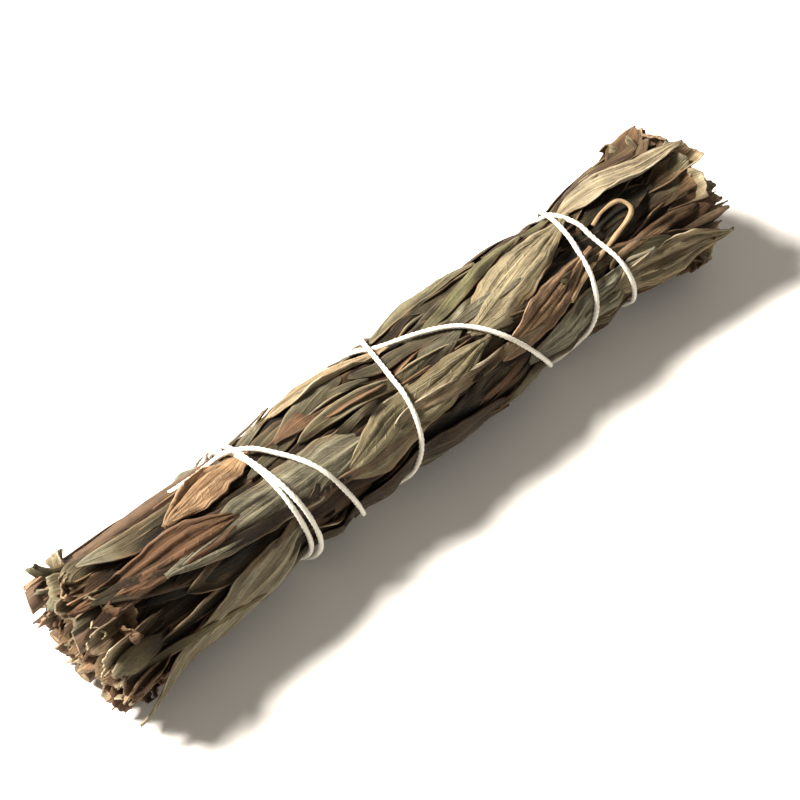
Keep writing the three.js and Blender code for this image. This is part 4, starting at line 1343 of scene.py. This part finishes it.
# %% The knot and the two cut ends
TAIL_ROUTES = [  # degrees and millimetres from the knot, and how high above the leaves
    [(-12, -1.8, 1.5), (-28, -3.2, 0.9), (-44, -4.2, 0.8), (-58, -5.2, 1.2)],
    [(-8, 3, 1.5), (-20, 6, 1.2), (-28, 9.5, 1.4)],
]
TAIL_LIFT = 0.75 * MM
KNOT_SIZE = 0.36 * MM
FIBRES = 9
FIBRE_RADIUS = 0.07 * MM
knot_degrees, knot_x = THREAD_ROUTE[0]
knot_centre = thread_path[0] + np.array((-0.7, 0.3, 0.35)) * MM
knot_outwards = np.array((0, math.cos(math.radians(knot_degrees)), math.sin(math.radians(knot_degrees))))


def knot_points(centre, outwards, size):
    """A small overhand knot lying on the bundle."""
    t = np.linspace(0, TAU, 40)
    axis = np.array((1.0, 0, 0))
    around = np.cross(outwards, axis)
    flat = (np.sin(t) + 2 * np.sin(2 * t))[:, None] * axis
    flat = flat + (np.cos(t) - 2 * np.cos(2 * t))[:, None] * around
    return centre + size * (flat - 1.3 * np.sin(3 * t)[:, None] * outwards)


def tail_points(tail_route):
    """Points of a cut end, from the knot out over the leaves."""
    points = [knot_centre]
    for turn, along, above in tail_route:
        x = (knot_x + along) * MM
        angle = math.radians(knot_degrees + turn)
        points.append(point_on(x, angle, surface_radius(x, angle) + above * TAIL_LIFT))
    return np.array(points)


def add_frayed_end(bm, tail, number):
    """Adds the loose fibres at the end of a tail."""
    forward = tail[-1] - tail[-2]
    forward = forward / np.linalg.norm(forward)
    for k in range(FIBRES):
        spread = np.array([draw(number * 50 + k * 3 + axis) - 0.5 for axis in range(3)])
        tip = tail[-1] + (forward + spread * 0.9) * between(number * 60 + k, 0.7, 1.5) * MM
        middle = tail[-1] + (forward + spread * 0.3) * 0.4 * MM
        fibre, _ = even_path([tail[-1] - forward * 0.4 * MM, middle, tip], 0.15 * MM)
        add_tube(bm, rings_along(fibre, np.full((len(fibre), 5), FIBRE_RADIUS)), COTTON_TINT)


print("knot", knot_x, "mm along the bundle and", knot_degrees, "degrees round it")

# %% Make the thread
bm = start_piece()
add_strand(bm, thread_path, STRAND)
add_strand(bm, knot_points(knot_centre, knot_outwards, KNOT_SIZE), STRAND * 0.86)
for number, tail_route in enumerate(TAIL_ROUTES):
    tail = tail_points(tail_route)
    add_strand(bm, tail, STRAND, taper=0.35)
    add_frayed_end(bm, tail, number)
    print("cut end:", round(path_length(tail) / MM, 1), "mm")
finish_piece(bm, "cotton_thread", [cotton], "cotton", "binding_thread")

# %% [markdown]
# One thin dry stalk lies over the leaves near the tip, under the thread, and its end has curled over.

# %% Make the curled stalk
STALK_ROUTE = [
    (138, 27, -0.2), (128, 33, 0), (119, 39.5, 0.2), (108, 44, 1),
    (97, 43.5, 1.7), (94, 40.5, 1.8), (97, 38, 1.4),
]
STALK_RADIUS = 0.45 * MM
STALK_TINT = (0.4, 0.3, 0.2)
stalk = []
for degrees, x, above in STALK_ROUTE:
    angle = math.radians(degrees)
    stalk.append(point_on(x * MM, angle, surface_radius(x * MM, angle) + above * MM))
stalk_path, at = even_path(stalk, 0.3 * MM)
share = at[:, None] / at[-1]
turn = np.linspace(0, TAU, 12, endpoint=False)[None, :]
uneven = 1 + 0.12 * np.sin(4 * turn + 9 * share) + 0.1 * np.sin(40 * share)
stalk_radius = STALK_RADIUS * (1 - 0.35 * share) * uneven
bm = start_piece()
dress_cut(bm, add_tube(bm, rings_along(stalk_path, stalk_radius), STALK_TINT))
stalk_bark = bark_material("stalk_bark", (0.50, 0.36, 0.19), (0.22, 0.13, 0.07))
finish_piece(bm, "dry_curled_stalk", [stalk_bark, cut_wood, pith], "stem", "curled_stalk")

# %% [markdown]
# The camera looks at the bundle from the photograph's side and height, 27 cm away, as a hand-held camera
# would.

# %% Camera
AZIMUTH = math.radians(-43)
ELEVATION = math.radians(55)
DISTANCE = 0.27
FIELD_OF_VIEW = math.radians(24.2)
aim = Vector((0, 0, AXIS_HEIGHT))
backward = Vector((
    math.sin(AZIMUTH) * math.cos(ELEVATION),
    -math.cos(AZIMUTH) * math.cos(ELEVATION),
    math.sin(ELEVATION),
))


def look_from(thing, direction, distance):
    """Puts a camera or light at a distance from the bundle's middle, pointing at it."""
    thing.location = aim + direction * distance
    thing.rotation_euler = (-direction).to_track_quat("-Z", "Y").to_euler()


camera = add_object("camera", bpy.data.cameras.new("camera"))
camera.data.angle = FIELD_OF_VIEW
camera.data.clip_start = 0.01
look_from(camera, backward, DISTANCE)
bpy.context.scene.camera = camera
print("camera at", tuple(round(c, 3) for c in camera.location))

# %% [markdown]
# The bundle lies on plain pale paper. The photograph's light comes from the upper left and is small
# enough to draw a clear shadow, so the key light is a small square close by. A weak, wide light from the
# right and a dim warm world fill the shadows.

# %% Floor
FLOOR_HALF = 3
bm = bmesh.new()
bmesh.ops.create_grid(bm, x_segments=1, y_segments=1, size=FLOOR_HALF)
floor_mesh = bpy.data.meshes.new("pale_floor")
bm.to_mesh(floor_mesh)
bm.free()
floor = add_object("pale_floor", floor_mesh)
paper, _, shader, _ = new_material("pale_paper")
shader.inputs["Base Color"].default_value = (0.84, 0.82, 0.79, 1)
shader.inputs["Roughness"].default_value = 0.9
floor_mesh.materials.append(paper)
print("floor:", 2 * FLOOR_HALF, "m square")

# %% Lights
right = Vector((math.cos(AZIMUTH), math.sin(AZIMUTH), 0))
up = backward.cross(right)


def add_light(name, side, high, near, distance, size, power, colour):
    """A square soft light, placed by where it stands in the camera's view."""
    lamp = bpy.data.lights.new(name, "AREA")
    lamp.size = size
    lamp.energy = power
    lamp.color = colour
    light = add_object(name, lamp)
    look_from(light, (right * side + up * high + backward * near).normalized(), distance)
    print(name, "at", tuple(round(c, 2) for c in light.location))


add_light("key_light", -0.85, 0.6, 0.65, 0.7, 0.15, 18.5, (1.0, 0.95, 0.87))
add_light("fill_light", 0.7, -0.1, 0.9, 0.8, 0.6, 0.6, (1.0, 0.97, 0.93))
bpy.context.scene.view_settings.view_transform = "Standard"
world = bpy.data.worlds.new("soft_studio")
bpy.context.scene.world = world
world.use_nodes = True
background = world.node_tree.nodes["Background"]
background.inputs["Color"].default_value = (1, 0.93, 0.82, 1)
background.inputs["Strength"].default_value = 0.3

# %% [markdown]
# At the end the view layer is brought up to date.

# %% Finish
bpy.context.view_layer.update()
